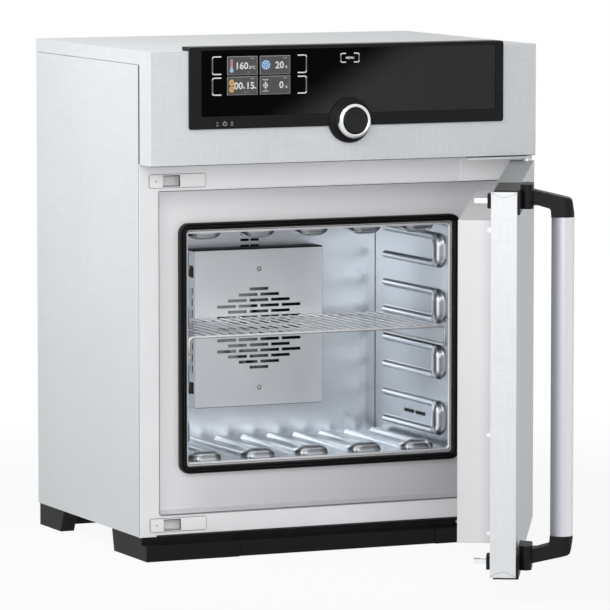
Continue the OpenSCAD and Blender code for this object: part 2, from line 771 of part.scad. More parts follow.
module foot_front(side) {
    x = [-hx + foot_in, -hx + foot_in + foot_w];
    back = foot_y + foot_side;
    color("black") place() mirror([side > 0 ? 1 : 0, 0, 0]) {
        block(x, [foot_y, foot_y + foot_arm], [0, step_h]);
        block(x, [frame_y + 1, foot_y + foot_arm], [step_h - 1, foot_h]);
        translate([x[0], 0, 0]) rotate([90, 0, 90]) linear_extrude(foot_arm / 2)
            polygon([[foot_y + 1, 0], [back, 0], [back + foot_slant, foot_h], [frame_y + 2, foot_h],
                [frame_y + 2, step_h], [foot_y + 1, step_h]]);
    }
}
module foot_front_left() { foot_front(-1); }
module foot_front_right() { foot_front(1); }

module plinth_middle() {
    x = hx - foot_in - foot_w - seam;
    color("black") place() {
        block([-x, x], [foot_y + 0.6, foot_y + 34], [lift, step_h]);
        block([-x, x], [frame_y + 1, foot_y + 34], [step_h, foot_h]);
    }
}

module rear_plinth() {
    y = rear_foot[0];
    color("black") place() {
        for (side = [0, 1]) mirror([side, 0, 0])
            translate([-hx + foot_in, 0, 0]) rotate([90, 0, 90]) linear_extrude(rear_foot[2])
                polygon([[y, 0], [cab_d, 0], [cab_d, foot_h], [y - rear_foot[1], foot_h]]);
        block([-hx + foot_in + 2, hx - foot_in - 2], [y + 4, y + 26], [9, foot_h]);
    }
}

// A strike plate with its slot and the pocket behind it that the hook turns in
module strike(z) {
    slot_x = [latch_x - strike_slot[0] / 2, latch_x + strike_slot[0] / 2];
    slot_z = [z - strike_slot[1] / 2, z + strike_slot[1] / 2];
    color(bright) place() difference() {
        union() {
            block(strike_x, [frame_y - strike_t, frame_y], [z - strike_h / 2, z + strike_h / 2]);
            block([slot_x[1] + 1, strike_x[1] - 6], [frame_y - strike_t - 0.4, frame_y],
                [z - strike_h / 2 + 1, z + strike_h / 2 - 1]);
            strike_hole_body(slot_x, slot_z);
        }
        block(slot_x, [0, frame_y + pocket_d - skin], slot_z);
        block([slot_x[0], slot_x[1] + 8], [frame_y + skin, frame_y + pocket_d - skin], slot_z);
    }
}
module strike_hole_body(x, z) {
    block([x[0] - skin, x[1] + 9], [frame_y - strike_t, frame_y + pocket_d], [z[0] - skin, z[1] + skin]);
}
module strike_upper() { strike(latch_z[1]); }
module strike_lower() { strike(latch_z[0]); }

// A bracket on the frame's corner with an arm that carries a hinge pin; plate_z is the plate's height
module hinge_bracket(arm, plate_z) {
    x = [hx - 97, hx - 2];
    color(steel) place() difference() {
        union() {
            block(x, [frame_y - skin, frame_y], plate_z);
            block([x[0] - 6, hinge_x - 4], [hinge_y - 6, frame_y], [arm, arm + arm_t]);
            translate([hinge_x, hinge_y, arm]) cylinder(h = arm_t, r = bush_r);
            block([hinge_x - 12, hinge_x + 4], [hinge_y, frame_y], [arm, arm + arm_t]);
        }
        translate([hinge_x, hinge_y, arm - 1]) cylinder(h = arm_t + 2, r = hinge_pin_r);
    }
}
module hinge_bracket_upper() { hinge_bracket(arm_z[1], [mid_z + seat_h / 2 + 1, arm_z[1] + arm_t]); }
module hinge_bracket_lower() { hinge_bracket(arm_z[0], [arm_z[0], mid_z - seat_h / 2 - 1]); }

module hinge_pins() {
    color(bright) place() translate([hinge_x, hinge_y, 0]) {
        translate([0, 0, leaf_z[1] - bush_len + 2])
            cylinder(h = arm_z[1] + arm_t - leaf_z[1] + bush_len - 2, r = hinge_pin_r);
        translate([0, 0, arm_z[0]]) cylinder(h = leaf_z[0] + bush_len - 2 - arm_z[0], r = hinge_pin_r);
    }
}

module hinge_bushes() {
    washer = 0.4;
    color(bright) open_door() translate([hinge_x, hinge_y, 0]) difference() {
        union() {
            translate([0, 0, leaf_z[1] - bush_len])
                cylinder(h = arm_z[1] - washer - leaf_z[1] + bush_len, r = bush_r);
            translate([0, 0, arm_z[0] + arm_t + washer])
                cylinder(h = leaf_z[0] + bush_len - arm_z[0] - arm_t - washer, r = bush_r);
        }
        translate([0, 0, leaf_z[1] - bush_len + 1]) cylinder(h = 60, r = hinge_pin_r + fit);
        translate([0, 0, leaf_z[0] + bush_len - 1 - 60]) cylinder(h = 60, r = hinge_pin_r + fit);
    }
}

module door_shell() {
    in = door_skin;
    color(steel) open_door() difference() {
        block([-leaf_x, leaf_x], [0, leaf_t], leaf_z);
        block([-leaf_x + in, leaf_x - in], [in, leaf_t + 1], [leaf_z[0] + in, leaf_z[1] - in]);
        for (i = [0, 1]) block([latch_x - pivot_r, latch_x + pivot_r], [-1, 3], tail_slot(i));
        translate([hinge_x, hinge_y, leaf_z[0] - 1]) cylinder(h = leaf_z[1] - leaf_z[0] + 2, r = bush_r);
    }
}

module door_plug() {
    in = door_skin;
    y = leaf_t - in;
    color(steel) open_door() difference() {
        union() {
            block([-leaf_x + in, leaf_x - in], [y, leaf_t], [leaf_z[0] + in, leaf_z[1] - in]);
            block([-plug_x, plug_x], [leaf_t, plug_y], plug_z);
        }
        block([-plug_x + in, plug_x - in], [0, plug_y - in], [plug_z[0] + in, plug_z[1] - in]);
        for (z = latch_z) latch_neck(z, y - 1, leaf_t + 1, clear);
    }
}

// The height range of the slot for an arm's tail; 0 is the lower one
function tail_slot(i) = [min(latch_z[i], pivot_z[i]) - 5, max(latch_z[i], pivot_z[i]) + 5];

// The part of a latch box that goes through the door's inner sheet
module latch_neck(z, y0, y1, gap) {
    block([latch_x - hook_slot - 1.5 - gap, latch_x + hook_slot + 1.5 + gap], [y0, y1],
        [z - hook_h / 2 - 3.4 - gap, z + hook_h / 2 + 3.4 + gap]);
}

module door_insulation() {
    in = door_skin + clear;
    color("khaki") open_door() {
        block([latch_x + 24, hinge_x - 14], [in, leaf_t - in], [leaf_z[0] + in, leaf_z[1] - in]);
        block([-plug_x + in, plug_x - in], [leaf_t - in, plug_y - in], [plug_z[0] + in, plug_z[1] - in]);
    }
}

module plug_screws() {
    color(bright) open_door() for (side = [0, 1], z = [plug_z[0] + 13, mid_z - 70, plug_z[1] - 13])
        mirror([side, 0, 0]) translate([-plug_x - 1.4, leaf_t + 3.4, z]) rotate([0, 90, 0])
            cylinder(h = 1.4, r = 2.8);
}

// A black cover round the leaf's corner with the boss that holds the handle's pivot; up is 1 or -1
module corner_cover(up) {
    edge = up > 0 ? leaf_z[1] : leaf_z[0];
    z = pivot_z[up > 0 ? 1 : 0];
    x = [-leaf_x, -leaf_x + cover_len];
    band = 30;
    boss_h = arm_h + lug_h[0] + lug_h[1] + 2 * clear;
    boss_z = z - arm_h / 2 - clear - lug_h[up > 0 ? 0 : 1];
    far = edge + up * cover_t;
    near = edge - up * band;
    color(black) open_door() difference() {
        union() {
            block(x, [-cover_proud, 0], [min(far, near), max(far, near)]);
            block(x, [-cover_proud, leaf_t - 4], [min(edge, far), max(edge, far)]);
            translate([latch_x, pivot_y, boss_z]) {
                for (s = [-1, 1]) translate([s * boss_x, 0, 0]) cylinder(h = boss_h, r = pivot_r);
                translate([-boss_x - pivot_r / 2, 0, 0]) cube([2 * boss_x + pivot_r, pivot_r + 0.5, boss_h]);
                translate([-boss_x, -pivot_r, 0]) cube([2 * boss_x, 2 * pivot_r, boss_h]);
            }
        }
        translate([latch_x - boss_x, pivot_y - pivot_r - 1, z - arm_h / 2 - clear])
            cube([2 * boss_x, 2 * pivot_r + 1, arm_h + 2 * clear]);
        translate([latch_x, pivot_y, z - arm_h / 2 - lug_h[0]])
            cylinder(h = arm_h + 2 * lug_h[0], r = pivot_pin_r);
        block([latch_x - pivot_r, latch_x + pivot_r], [-cover_proud - 1, 1], tail_slot(up > 0 ? 1 : 0));
    }
}
module corner_cover_upper() { corner_cover(1); }
module corner_cover_lower() { corner_cover(-1); }

module handle_pins() {
    color(bright) open_door() {
        for (z = pivot_z) translate([latch_x, pivot_y, z - arm_h / 2 - lug_h[0]])
            cylinder(h = arm_h + 2 * lug_h[0], r = pivot_pin_r);
        for (z = latch_z) translate([latch_x, hook_pin_y, z - hook_h / 2 - 3.4])
            cylinder(h = hook_h + 6.8, r = hook_pin_r);
    }
}

// An arm of the handle, drawn for the top of the door; the lower one is its mirror image. Its tail
// reaches into the latch, which lies to_latch above the arm
module handle_arm(z, to_latch) {
    end_z = arm_drop;
    root = arm_h / 2;
    out = tube_reach + tube_r + pivot_y;
    in = out - 2 * tube_r;
    knuckle = pivot_r + 6;
    w = 26;
    color(black) open_door() translate([latch_x, pivot_y, z]) difference() {
        union() {
            translate([0, 0, -root]) cylinder(h = arm_h, r = pivot_r - clear);
            intersection() {
                translate([0, 0, -60]) linear_extrude(120) hull() {
                    translate([-w / 2, -6]) square([w, 6]);
                    translate([0, -out + tube_r]) circle(r = tube_r);
                }
                translate([-tube_r - 1, 0, 0]) rotate([90, 0, 90]) linear_extrude(2 * tube_r + 2)
                    polygon([[-4, root], [-pivot_r, root], [-out + 6.5, root - arm_slope],
                        [-out + 3.5, root - arm_slope - 2.2],
                            [-out + 2.4, root - arm_slope - 6], [-out - 0.6, -end_z],
                        [-in, -end_z], [-in + 0.6, -root - arm_slope * 0.62], [-in + 2, -root - arm_slope * 0.4],
                        [-knuckle, -root], [-4, -root]]);
            }
            translate([0, -out + tube_r, -end_z - 12]) cylinder(h = 13, r = tube_r - 2);
            block([-3, 3], [0, -pivot_y],
                [max(min(-4, to_latch - 2.5), 1 - root), min(max(4, to_latch + 2.5), root - 1)]);
            block([-3, 3], [-pivot_y - 0.3, -pivot_y + 4], [min(-4, to_latch - 2.5), max(4, to_latch + 2.5)]);
        }
        translate([0, 0, -40]) cylinder(h = 80, r = pivot_pin_r + fit);
    }
}
module handle_arm_upper() { handle_arm(pivot_z[1], latch_z[1] - pivot_z[1]); }
module handle_arm_lower() { open_door_mirror_z() handle_arm(pivot_z[1], pivot_z[0] - latch_z[0]); }
module open_door_mirror_z() { translate([0, 0, 2 * (mid_z + handle_up)]) mirror([0, 0, 1]) children(); }

module handle_tube() {
    color(bright) open_door() translate([latch_x, -tube_reach, pivot_z[0] + arm_drop]) difference() {
        cylinder(h = tube_len, r = tube_r);
        translate([0, 0, -1]) cylinder(h = tube_len + 2, r = tube_r - 2 + fit);
    }
}

module latch_boxes() {
    color("black") open_door() for (z = latch_z) difference() {
        union() {
            block([latch_x - box_w / 2, latch_x + box_w / 2], [leaf_t, leaf_t + box_t],
                [z - box_h / 2, z + box_h / 2]);
            latch_neck(z, hook_pin_y + 3, leaf_t, 0);
            translate([latch_x, hook_pin_y, z - hook_h / 2 - 3.4]) cylinder(h = hook_h + 6.8, r = 6);
        }
        block([latch_x - hook_slot, latch_x + hook_slot], [hook_pin_y - 20, leaf_t + box_t + 1],
            [z - hook_h / 2 - clear, z + hook_h / 2 + clear]);
        translate([latch_x, hook_pin_y, z - 20]) cylinder(h = 40, r = hook_pin_r);
    }
}

module latch_hook(z) {
    tip = leaf_t + hook_reach - hook_pin_y;
    tail = hook_pin_y - 8;
    color(bright) open_door() translate([latch_x, hook_pin_y, z - hook_h / 2]) difference() {
        union() {
            cylinder(h = hook_h, r = 5.5);
            block([-hook_w / 2, hook_w / 2], [0, tip], [0, hook_h]);
            block([0, hook_w / 2 + nose_w], [tip - nose_l, tip], [0, hook_h]);
            block([-3, 3], [-tail, 0], [0, hook_h]);
            block([-7, 7], [-tail - 2.5, -tail], [0, hook_h]);
            for (s = [-1, 1]) block([s > 0 ? 4.2 : -7, s > 0 ? 7 : -4.2], [-tail - 6, -tail], [0, hook_h]);
        }
        translate([0, 0, -1]) cylinder(h = hook_h + 2, r = hook_pin_r + fit);
    }
}
module latch_hook_upper() { latch_hook(latch_z[1]); }
module latch_hook_lower() { latch_hook(latch_z[0]); }

module shelf() {
    wires = 2 * floor((rod_x - 6) / wire_pitch) + 1;
    y = shelf_y;
    color(bright) place() {
        for (s = [-1, 1]) {
            bar_y(s * rod_x, rod_z, y[0], y[1], rod_r);
            for (yy = y) {
                translate([s * rod_x, yy, rod_z]) cylinder(h = shelf_rise, r = rod_r);
                translate([s * rod_x, yy, rod_z]) sphere(r = rod_r, $fn = 24);
                translate([s * rod_x, yy, rail_z]) sphere(r = rod_r, $fn = 24);
            }
        }
        for (yy = y) translate([-rod_x, yy, rail_z]) rotate([0, 90, 0]) cylinder(h = 2 * rod_x, r = rod_r);
        for (k = [0 : wires - 1])
            bar_y((k - (wires - 1) / 2) * wire_pitch, rail_z + rod_r + wire_r - 0.5, y[0] - 1, y[1] + 1, wire_r);
    }
}

base_pan();
side_panel_left();
side_panel_right();
back_panel();
top_cover();
front_frame();
door_seat();
chamber();
chamber_gasket();
air_baffle();
baffle_screws();
fan_wheel();
fan_shaft();
motor_bracket();
fan_motor();
heaters();
insulation_sides();
insulation_top_bottom();
insulation_back();
temperature_sensor();
vent_tube();
vent_flap();
vent_drive();
electronics_tray();
power_board();
control_board();
mains_inlet();
back_screws();
control_panel();
display_housing();
display_glass();
display_module();
knob_ring();
knob_button();
knob_encoder();
power_key();
foot_front_left();
foot_front_right();
plinth_middle();
rear_plinth();
strike_upper();
strike_lower();
hinge_bracket_upper();
hinge_bracket_lower();
hinge_pins();
door_shell();
door_plug();
door_insulation();
plug_screws();
hinge_bushes();
corner_cover_upper();
corner_cover_lower();
handle_pins();
handle_arm_upper();
handle_arm_lower();
handle_tube();
latch_boxes();
latch_hook_upper();
latch_hook_lower();
shelf();
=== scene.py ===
# %% [markdown]
# # A hot air sterilizer
#
# The photograph shows a pale steel cabinet with a bright ribbed chamber, its door standing open. The
# solids, the joints and the sizes come packed from the construction step. This script gives every solid
# a finish, models the pieces whose look needs more than a plain solid, and sets the camera and the light.

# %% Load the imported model
import json
import math

import bmesh
import bpy
from mathutils import Matrix, Vector


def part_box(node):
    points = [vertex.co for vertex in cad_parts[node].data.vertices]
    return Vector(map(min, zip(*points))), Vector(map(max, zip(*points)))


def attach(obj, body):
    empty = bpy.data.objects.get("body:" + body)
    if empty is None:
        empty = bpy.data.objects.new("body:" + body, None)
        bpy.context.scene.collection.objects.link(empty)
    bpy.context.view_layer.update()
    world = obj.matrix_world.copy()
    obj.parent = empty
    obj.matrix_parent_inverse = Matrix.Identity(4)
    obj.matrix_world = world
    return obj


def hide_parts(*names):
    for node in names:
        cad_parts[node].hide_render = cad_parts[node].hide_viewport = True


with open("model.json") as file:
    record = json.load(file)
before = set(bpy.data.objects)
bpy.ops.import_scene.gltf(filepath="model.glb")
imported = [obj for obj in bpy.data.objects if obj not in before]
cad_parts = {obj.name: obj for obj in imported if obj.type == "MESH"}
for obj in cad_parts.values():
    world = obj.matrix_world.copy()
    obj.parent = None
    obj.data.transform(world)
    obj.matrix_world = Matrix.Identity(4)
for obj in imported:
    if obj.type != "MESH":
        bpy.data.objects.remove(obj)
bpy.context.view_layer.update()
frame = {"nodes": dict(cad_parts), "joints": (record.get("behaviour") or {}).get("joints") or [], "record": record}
MM = 0.001
joints = {joint["name"]: joint for joint in frame["joints"]}
print("nodes:", len(frame["nodes"]), "joints:", sorted(joints))

# %% [markdown]
# ## Places
#
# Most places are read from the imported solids. The door is drawn shut, where its faces run along X and Z,
# and then turned about its hinge to where it stands open at rest. Pieces are drawn in millimetres, the
# solids and the materials are in metres.

# %% Read the main places from the solids
front_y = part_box("control_panel")[0].y
chamber_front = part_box("chamber")[0].y
opening_centre = Vector((0, 0, 286.2))

hinge = Vector(joints["door_hinge"]["pos_m"])
door_angle = -math.radians(joints["door_hinge"]["range_deg"][0])
opening = Matrix.Translation(hinge) @ Matrix.Rotation(door_angle, 4, "Z") @ Matrix.Translation(-hinge)
print("door stands open by", round(math.degrees(door_angle), 1), "degrees")
print("panel front at y", round(front_y, 4))

# %% [markdown]
# ## Camera
#
# The photograph was taken from far away with a long lens, so upright edges stay almost parallel. The
# values come from fitting a camera to the cabinet's corners.

# %% Set up the camera
camera_azimuth = math.radians(-23.90)
camera_elevation = math.radians(5.70)
camera_distance = 7.3772
camera_target = Vector((26.1 * MM, front_y + 200 * MM, 327.8 * MM))
image_width_px = 610
focal_length_px = 5172.9

camera_data = bpy.data.cameras.new("camera")
camera_data.sensor_width = 36
camera_data.lens = focal_length_px / image_width_px * camera_data.sensor_width
camera_data.clip_end = 60
camera = bpy.data.objects.new("camera", camera_data)
bpy.context.collection.objects.link(camera)
backwards = Vector((
    math.sin(camera_azimuth) * math.cos(camera_elevation),
    -math.cos(camera_azimuth) * math.cos(camera_elevation),
    math.sin(camera_elevation),
))
camera.location = camera_target + backwards * camera_distance
camera.rotation_euler = backwards.to_track_quat("Z", "Y").to_euler()
bpy.context.scene.camera = camera
print("camera at", [round(value, 3) for value in camera.location], "lens", round(camera_data.lens, 1), "mm")

# %% [markdown]
# ## Light
#
# Two large soft lamps light the cabinet. One stands near it on the left and above, makes the left side and
# the door's edge the brightest faces, and falls off towards the floor. The other is larger and further
# off, in front and to the left, and lights all the front evenly. The world adds a fill, weaker from the
# right and from below. Camera, glossy and transmission rays see a white world, which gives the white
# background and clean reflections in the metal.

# %% Set up the lamps and the world
def area_lamp(name, direction, distance, size, power):
    """A square lamp of that size in metres, which shines at the cabinet from a direction."""
    data = bpy.data.lights.new(name, "AREA")
    data.shape = "SQUARE"
    data.size = size
    data.energy = power
    lamp = bpy.data.objects.new(name, data)
    bpy.context.collection.objects.link(lamp)
    way = Vector(direction).normalized()
    lamp.location = camera_target + way * distance
    lamp.rotation_euler = way.to_track_quat("Z", "Y").to_euler()


area_lamp("left_lamp", (-0.95, -0.15, 0.85), distance=1.45, size=1.1, power=10.5)
area_lamp("front_lamp", (-0.38, -0.87, 0.33), distance=3.2, size=2.0, power=41)

scene = bpy.context.scene
scene.view_settings.view_transform = "Standard"
world = bpy.data.worlds.new("studio")
scene.world = world
world.use_nodes = True


# %% [markdown]
# ## Finishes
#
# A finish is a material whose nodes are written as expressions. `Value` wraps one socket and overloads
# the operators, and `Tree.node` adds any other node with its settings and its inputs. The first numbers
# are places in the list of a node's outputs.

# %% Write shader maths as expressions
CAMERA_RAY, GLOSSY_RAY, TRANSMISSION_RAY = 0, 3, 6
GENERATED, OBJECT = 0, 3
FACTOR = 2


class Value:
    """One output socket of a node tree, with the usual operators."""

    def __init__(self, owner, socket):
        self.owner = owner
        self.socket = socket

    def math(self, operation, *others):
        return self.owner.node("ShaderNodeMath", {"operation": operation}, self, *others)

    def __add__(self, other):
        return self.math("ADD", other)

    def __mul__(self, other):
        return self.math("MULTIPLY", other)

    def __sub__(self, other):
        return self.math("SUBTRACT", other)

    def __rsub__(self, other):
        return self.owner.node("ShaderNodeMath", {"operation": "SUBTRACT"}, other, self)

    __radd__ = __add__
    __rmul__ = __mul__

    def above(self, edge):
        return self.math("GREATER_THAN", edge)

    def fade(self, low, high):
        """0 below low, 1 above high and a smooth step between."""
        settings = {"interpolation_type": "SMOOTHSTEP"}
        return self.owner.node("ShaderNodeMapRange", settings, self, low, high, 0.0, 1.0)


class Tree:
    """A node tree that nodes are added to by calls."""

    def __init__(self, tree):
        self.tree = tree

    def node(self, kind, settings=None, *inputs, output=0, **named):
        """Adds a node, sets its settings, and then fills its inputs by order or by name."""
        made = self.tree.nodes.new(kind)
        for key, value in (settings or {}).items():
            setattr(made, key, value)
        sockets = [socket for socket in made.inputs if socket.enabled]
        pairs = list(zip(sockets, inputs))
        pairs += [(made.inputs[name.replace("_", " ")], value) for name, value in named.items()]
        for socket, value in pairs:
            if isinstance(value, Value):
                self.tree.links.new(value.socket, socket)
            else:
                socket.default_value = value
        return Value(self, [socket for socket in made.outputs if socket.enabled][output])

    def white_rays(self):
        """1 for the rays that see plain white: camera, glossy and transmission."""
        kinds = (CAMERA_RAY, GLOSSY_RAY, TRANSMISSION_RAY)
        first, *others = [self.node("ShaderNodeLightPath", output=kind) for kind in kinds]
        for other in others:
            first = first.math("MAXIMUM", other)
        return first


class Finish(Tree):
    """A material with one Principled shader."""

    def __init__(self, name, **numbers):
        self.material = bpy.data.materials.new(name)
        self.material.use_nodes = True
        super().__init__(self.material.node_tree)
        self.shader = self.tree.nodes["Principled BSDF"]
        for key, value in numbers.items():
            self.shader.inputs[key.replace("_", " ")].default_value = value

    def place(self, turn=0.0):
        """Object coordinates in metres, turned back about Z by an angle, as three values."""
        where = self.node("ShaderNodeTexCoord", output=OBJECT)
        turned = self.node("ShaderNodeMapping", None, Vector=where, Rotation=(0, 0, -turn))
        return turned, [self.node("ShaderNodeSeparateXYZ", None, turned, output=axis) for axis in range(3)]

    def noise(self, where, scale, detail=2.0, roughness=0.5):
        return self.node("ShaderNodeTexNoise", None,
                         Vector=where, Scale=scale, Detail=detail, Roughness=roughness)

    def stretch(self, where, scale):
        return self.node("ShaderNodeMapping", None, Vector=where, Scale=scale)

    def mix(self, share, low, high):
        """A colour between two colours."""
        return self.node("ShaderNodeMix", {"data_type": "RGBA"}, share, (*low, 1), (*high, 1))

    def blend(self, share, paint, other):
        """Goes from a painted colour to a plain one."""
        return self.node("ShaderNodeMix", {"data_type": "RGBA"}, share, paint, (*other, 1))

    def paint(self, name, value):
        self.tree.links.new(value.socket, self.shader.inputs[name])

    def bump(self, height, distance, strength):
        relief = self.node("ShaderNodeBump", None, Height=height, Distance=distance, Strength=strength)
        self.paint("Normal", relief)


studio = Tree(world.node_tree)
seen = studio.white_rays()
way = studio.node("ShaderNodeTexCoord", output=GENERATED)
side, height = (studio.node("ShaderNodeSeparateXYZ", None, way, output=axis) for axis in (0, 2))
even_fill, least_fill = 0.17, 0.02
fill = (height * 0.05 - side * 0.13 + even_fill).math("MAXIMUM", least_fill)
sky = world.node_tree.nodes["Background"]
sky.inputs["Color"].default_value = (1, 1, 1, 1)
world.node_tree.links.new((seen + (1 - seen) * fill).socket, sky.inputs["Strength"])
print("world fill", even_fill)

# %% [markdown]
# The floor is a plain pale sheet. What the camera sees of it is mostly plain white, mixed with the lit
# surface, so that the shadow under the cabinet stays.

# %% Lay the floor
class Stage(Tree):
    """A material that mixes a matt surface with plain white for the camera."""

    def __init__(self, name, share):
        self.material = bpy.data.materials.new(name)
        self.material.use_nodes = True
        super().__init__(self.material.node_tree)
        self.tree.nodes.remove(self.tree.nodes["Principled BSDF"])
        matt = self.node("ShaderNodeBsdfDiffuse", None, (0.7, 0.7, 0.7, 1))
        plain = self.node("ShaderNodeEmission", None, (1, 1, 1, 1), 1.0)
        where = self.node("ShaderNodeTexCoord", output=OBJECT)
        far = self.node("ShaderNodeVectorMath", {"operation": "LENGTH"}, where).fade(0.7, 1.8)
        white = self.white_rays() * (far * (1 - share) + share)
        both = self.node("ShaderNodeMixShader", None, white, matt, plain)
        self.tree.links.new(both.socket, self.tree.nodes["Material Output"].inputs["Surface"])


def mesh_object(name, shape, material):
    """Turns a bmesh into an object at the origin with one material."""
    mesh = bpy.data.meshes.new(name)
    shape.to_mesh(mesh)
    shape.free()
    made = bpy.data.objects.new(name, mesh)
    bpy.context.collection.objects.link(made)
    made.data.materials.append(material)
    return made


floor_shape = bmesh.new()
bmesh.ops.create_grid(floor_shape, x_segments=1, y_segments=1, size=9)
floor = mesh_object("floor", floor_shape, Stage("floor_white", 0.92).material)

# %% [markdown]
# ## Sheet steel
#
# The outer sheets have a fine linen texture: upright and level threads a millimetre or two apart, which
# scatter the light softly. Two stretched noises give the threads, and they feed colour, roughness and
# bump. The metal is written a fifth metallic, because such a sheet scatters far more than it mirrors.
#
# In the photograph the sheets darken towards the floor, and the door's outer face and the upward faces
# are darker than the panel. The lamps give a part of that, and the rest is painted shade in the colours.
# It isn't a property of the steel, and it turns with the door. The ribbed sheets get their contrast from
# painted shade and painted highlight in a vertex attribute, which darkens above 0 and brightens below it.

# %% Write the finishes of the sheets
def shaded(colour, share):
    """A colour times one share, or times one share for each of red, green and blue."""
    shares = share if isinstance(share, tuple) else (share,) * 3
    return [value * part for value, part in zip(colour, shares)]


def linen_steel(name, colour, turn=0.0, top=None, painted_top_shade=1.0, outer=None):
    """Linen sheet with painted shade: faces above the height top and in front of the depth outer are darker, and
    without outer the sheet darkens towards the floor.
    """
    finish = Finish(name, Metallic=0.20)
    where, (_, depth, height) = finish.place(turn)
    upright = finish.noise(finish.stretch(where, (640, 640, 26)), 1.0, 1.0)
    level = finish.noise(finish.stretch(where, (26, 26, 640)), 1.0, 1.0)
    cloud = finish.noise(where, 7.0, 2.0)
    threads = upright * 0.55 + level * 0.45
    tone = threads * 0.8 + cloud * 0.2
    paint = finish.mix(tone.fade(0.34, 0.66), shaded(colour, 0.93), colour)
    # painted shade: faces above the height top are darker
    if top:
        paint = finish.blend(height.above(top), paint, shaded(colour, painted_top_shade))
    if outer:
        # painted shade: the door's outer face is darker
        paint = finish.blend(1 - depth.above(outer), paint, shaded(colour, (0.84, 0.87, 0.89)))
    else:
        # painted shade: darker towards the floor
        paint = finish.blend((1 - height.fade(-0.05, 0.5)) * 0.5, paint, shaded(colour, 0.72))
    finish.paint("Base Color", paint)
    finish.paint("Roughness", threads * 0.2 + 0.30)
    finish.bump(threads, 0.0002, 0.4)
    return finish.material


def satin_steel(name, colour, roughness, metallic=1.0, turn=0.0, along=(900, 900, 60), painted_shade_strength=0.0):
    """Smooth or polished steel. The last argument sets how strongly a vertex attribute paints shade and highlight
    on it, and it also paints shade low on the right wall.
    """
    finish = Finish(name, Metallic=metallic)
    where, (x, _, z) = finish.place(turn)
    cloud = finish.noise(where, 14.0, 3.0)
    grain = finish.noise(finish.stretch(where, along), 1.0, 2.0)
    tone = cloud * 0.6 + grain * 0.4
    paint = finish.mix(tone.fade(0.3, 0.7), shaded(colour, 0.95), colour)
    if painted_shade_strength:
        # painted shade, low down on the right wall
        painted_low_shade = x.above(right_wall) * (1 - z.fade(0.12, 0.42)) * 0.6
        paint = finish.blend(painted_low_shade, paint, shaded(colour, 0.55))
        # painted shade where the vertex attribute is above 0
        painted_shade = finish.node("ShaderNodeAttribute", {"attribute_name": "painted_shade"}, output=FACTOR)
        paint = finish.blend(painted_shade.math("MAXIMUM", 0.0) * painted_shade_strength, paint, shaded(colour, 0.12))
        # painted highlight where it is below 0
        pale = [value / 3 + 0.66 for value in colour]
        paint = finish.blend((0 - painted_shade).math("MAXIMUM", 0.0) * painted_shade_strength, paint, pale)
    finish.paint("Base Color", paint)
    finish.paint("Roughness", grain * 0.08 + cloud * 0.06 + roughness)
    finish.bump(grain, 0.00003, 0.4)
    return finish.material


right_wall, face_margin = 0.185, 0.0008
door_top, cover_top = 0.5389, 0.7036
linen = (0.80, 0.83, 0.85)
shell_steel = linen_steel("shell_steel", linen)
shut = Matrix.Rotation(-door_angle, 3, "Z")
outer_face = min((shut @ vert.co).y for vert in frame["nodes"]["door_shell"].data.vertices)
# painted shade on the door's top face and outer face, and on the cover's top
door_steel = linen_steel("door_steel", linen, door_angle, door_top, 0.36, outer_face + face_margin)
cover_steel = linen_steel("cover_steel", linen, top=cover_top, painted_top_shade=0.93)
frame_steel = satin_steel("frame_steel", (0.92, 0.91, 0.93), 0.40, 0.25)
plug_steel = satin_steel("plug_steel", (0.70, 0.695, 0.705), 0.40, 0.25, door_angle)
chamber_steel = satin_steel("chamber_steel", (0.735, 0.775, 0.82), 0.23, 1.0, along=(60, 60, 60), painted_shade_strength=0.9)
baffle_steel = satin_steel("baffle_steel", (0.92, 0.95, 0.98), 0.30, 0.9, along=(60, 60, 900))
print("sheet finishes made")

# %% [markdown]
# ## Bright parts
#
# The knob ring is chromed, the rods of the shelf are polished and the handle tube is ground, with a fine
# grain round it.

# %% Write the finishes of the bright parts
chrome = satin_steel("chrome", (0.86, 0.87, 0.88), 0.05)
rod_steel = satin_steel("rod_steel", (0.86, 0.87, 0.89), 0.25, 0.5, painted_shade_strength=0.9)
strike_steel = satin_steel("strike_steel", (0.97, 0.97, 0.98), 0.40, 0.1)
bolt_steel = satin_steel("bolt_steel", (0.84, 0.86, 0.88), 0.20)

# %% [markdown]
# ## Black parts and hidden parts
#
# The moulded black parts have a fine grain, the seal is matt rubber, and the glass is a smooth black
# plate. It is painted lighter to the right along a slanted edge, as the soft reflection in the photograph
# is. Wool, boards and heaters are only seen through gaps, and still get their own finish.

# %% Write the other finishes
def moulded(name, colour, roughness, scale=2600.0, depth=0.00008, tint=0.35, gloss=0.5):
    finish = Finish(name, Metallic=0.0, Specular_IOR_Level=gloss)
    where, _ = finish.place()
    grain = finish.noise(where, scale, 2.0)
    cloud = finish.noise(where, 18.0, 2.0)
    light = [value * (1 + tint) + 0.002 for value in colour]
    finish.paint("Base Color", finish.mix((grain * 0.6 + cloud * 0.4).fade(0.3, 0.7), colour, light))
    finish.paint("Roughness", grain * 0.12 + roughness)
    finish.bump(grain, depth, 0.5)
    return finish.material


def smoked_glass(name, left, right):
    finish = Finish(name, Metallic=0.0, Specular_IOR_Level=0.03)
    where, (x, _, z) = finish.place()
    slant = (x + (z - 0.66) * -1.7).fade(-0.06, 0.07)
    haze = finish.noise(where, 30, 2.0)
    finish.paint("Base Color", finish.mix(slant * (haze * 0.2 + 0.9), left, right))
    finish.paint("Roughness", haze * 0.05 + 0.06)
    return finish.material


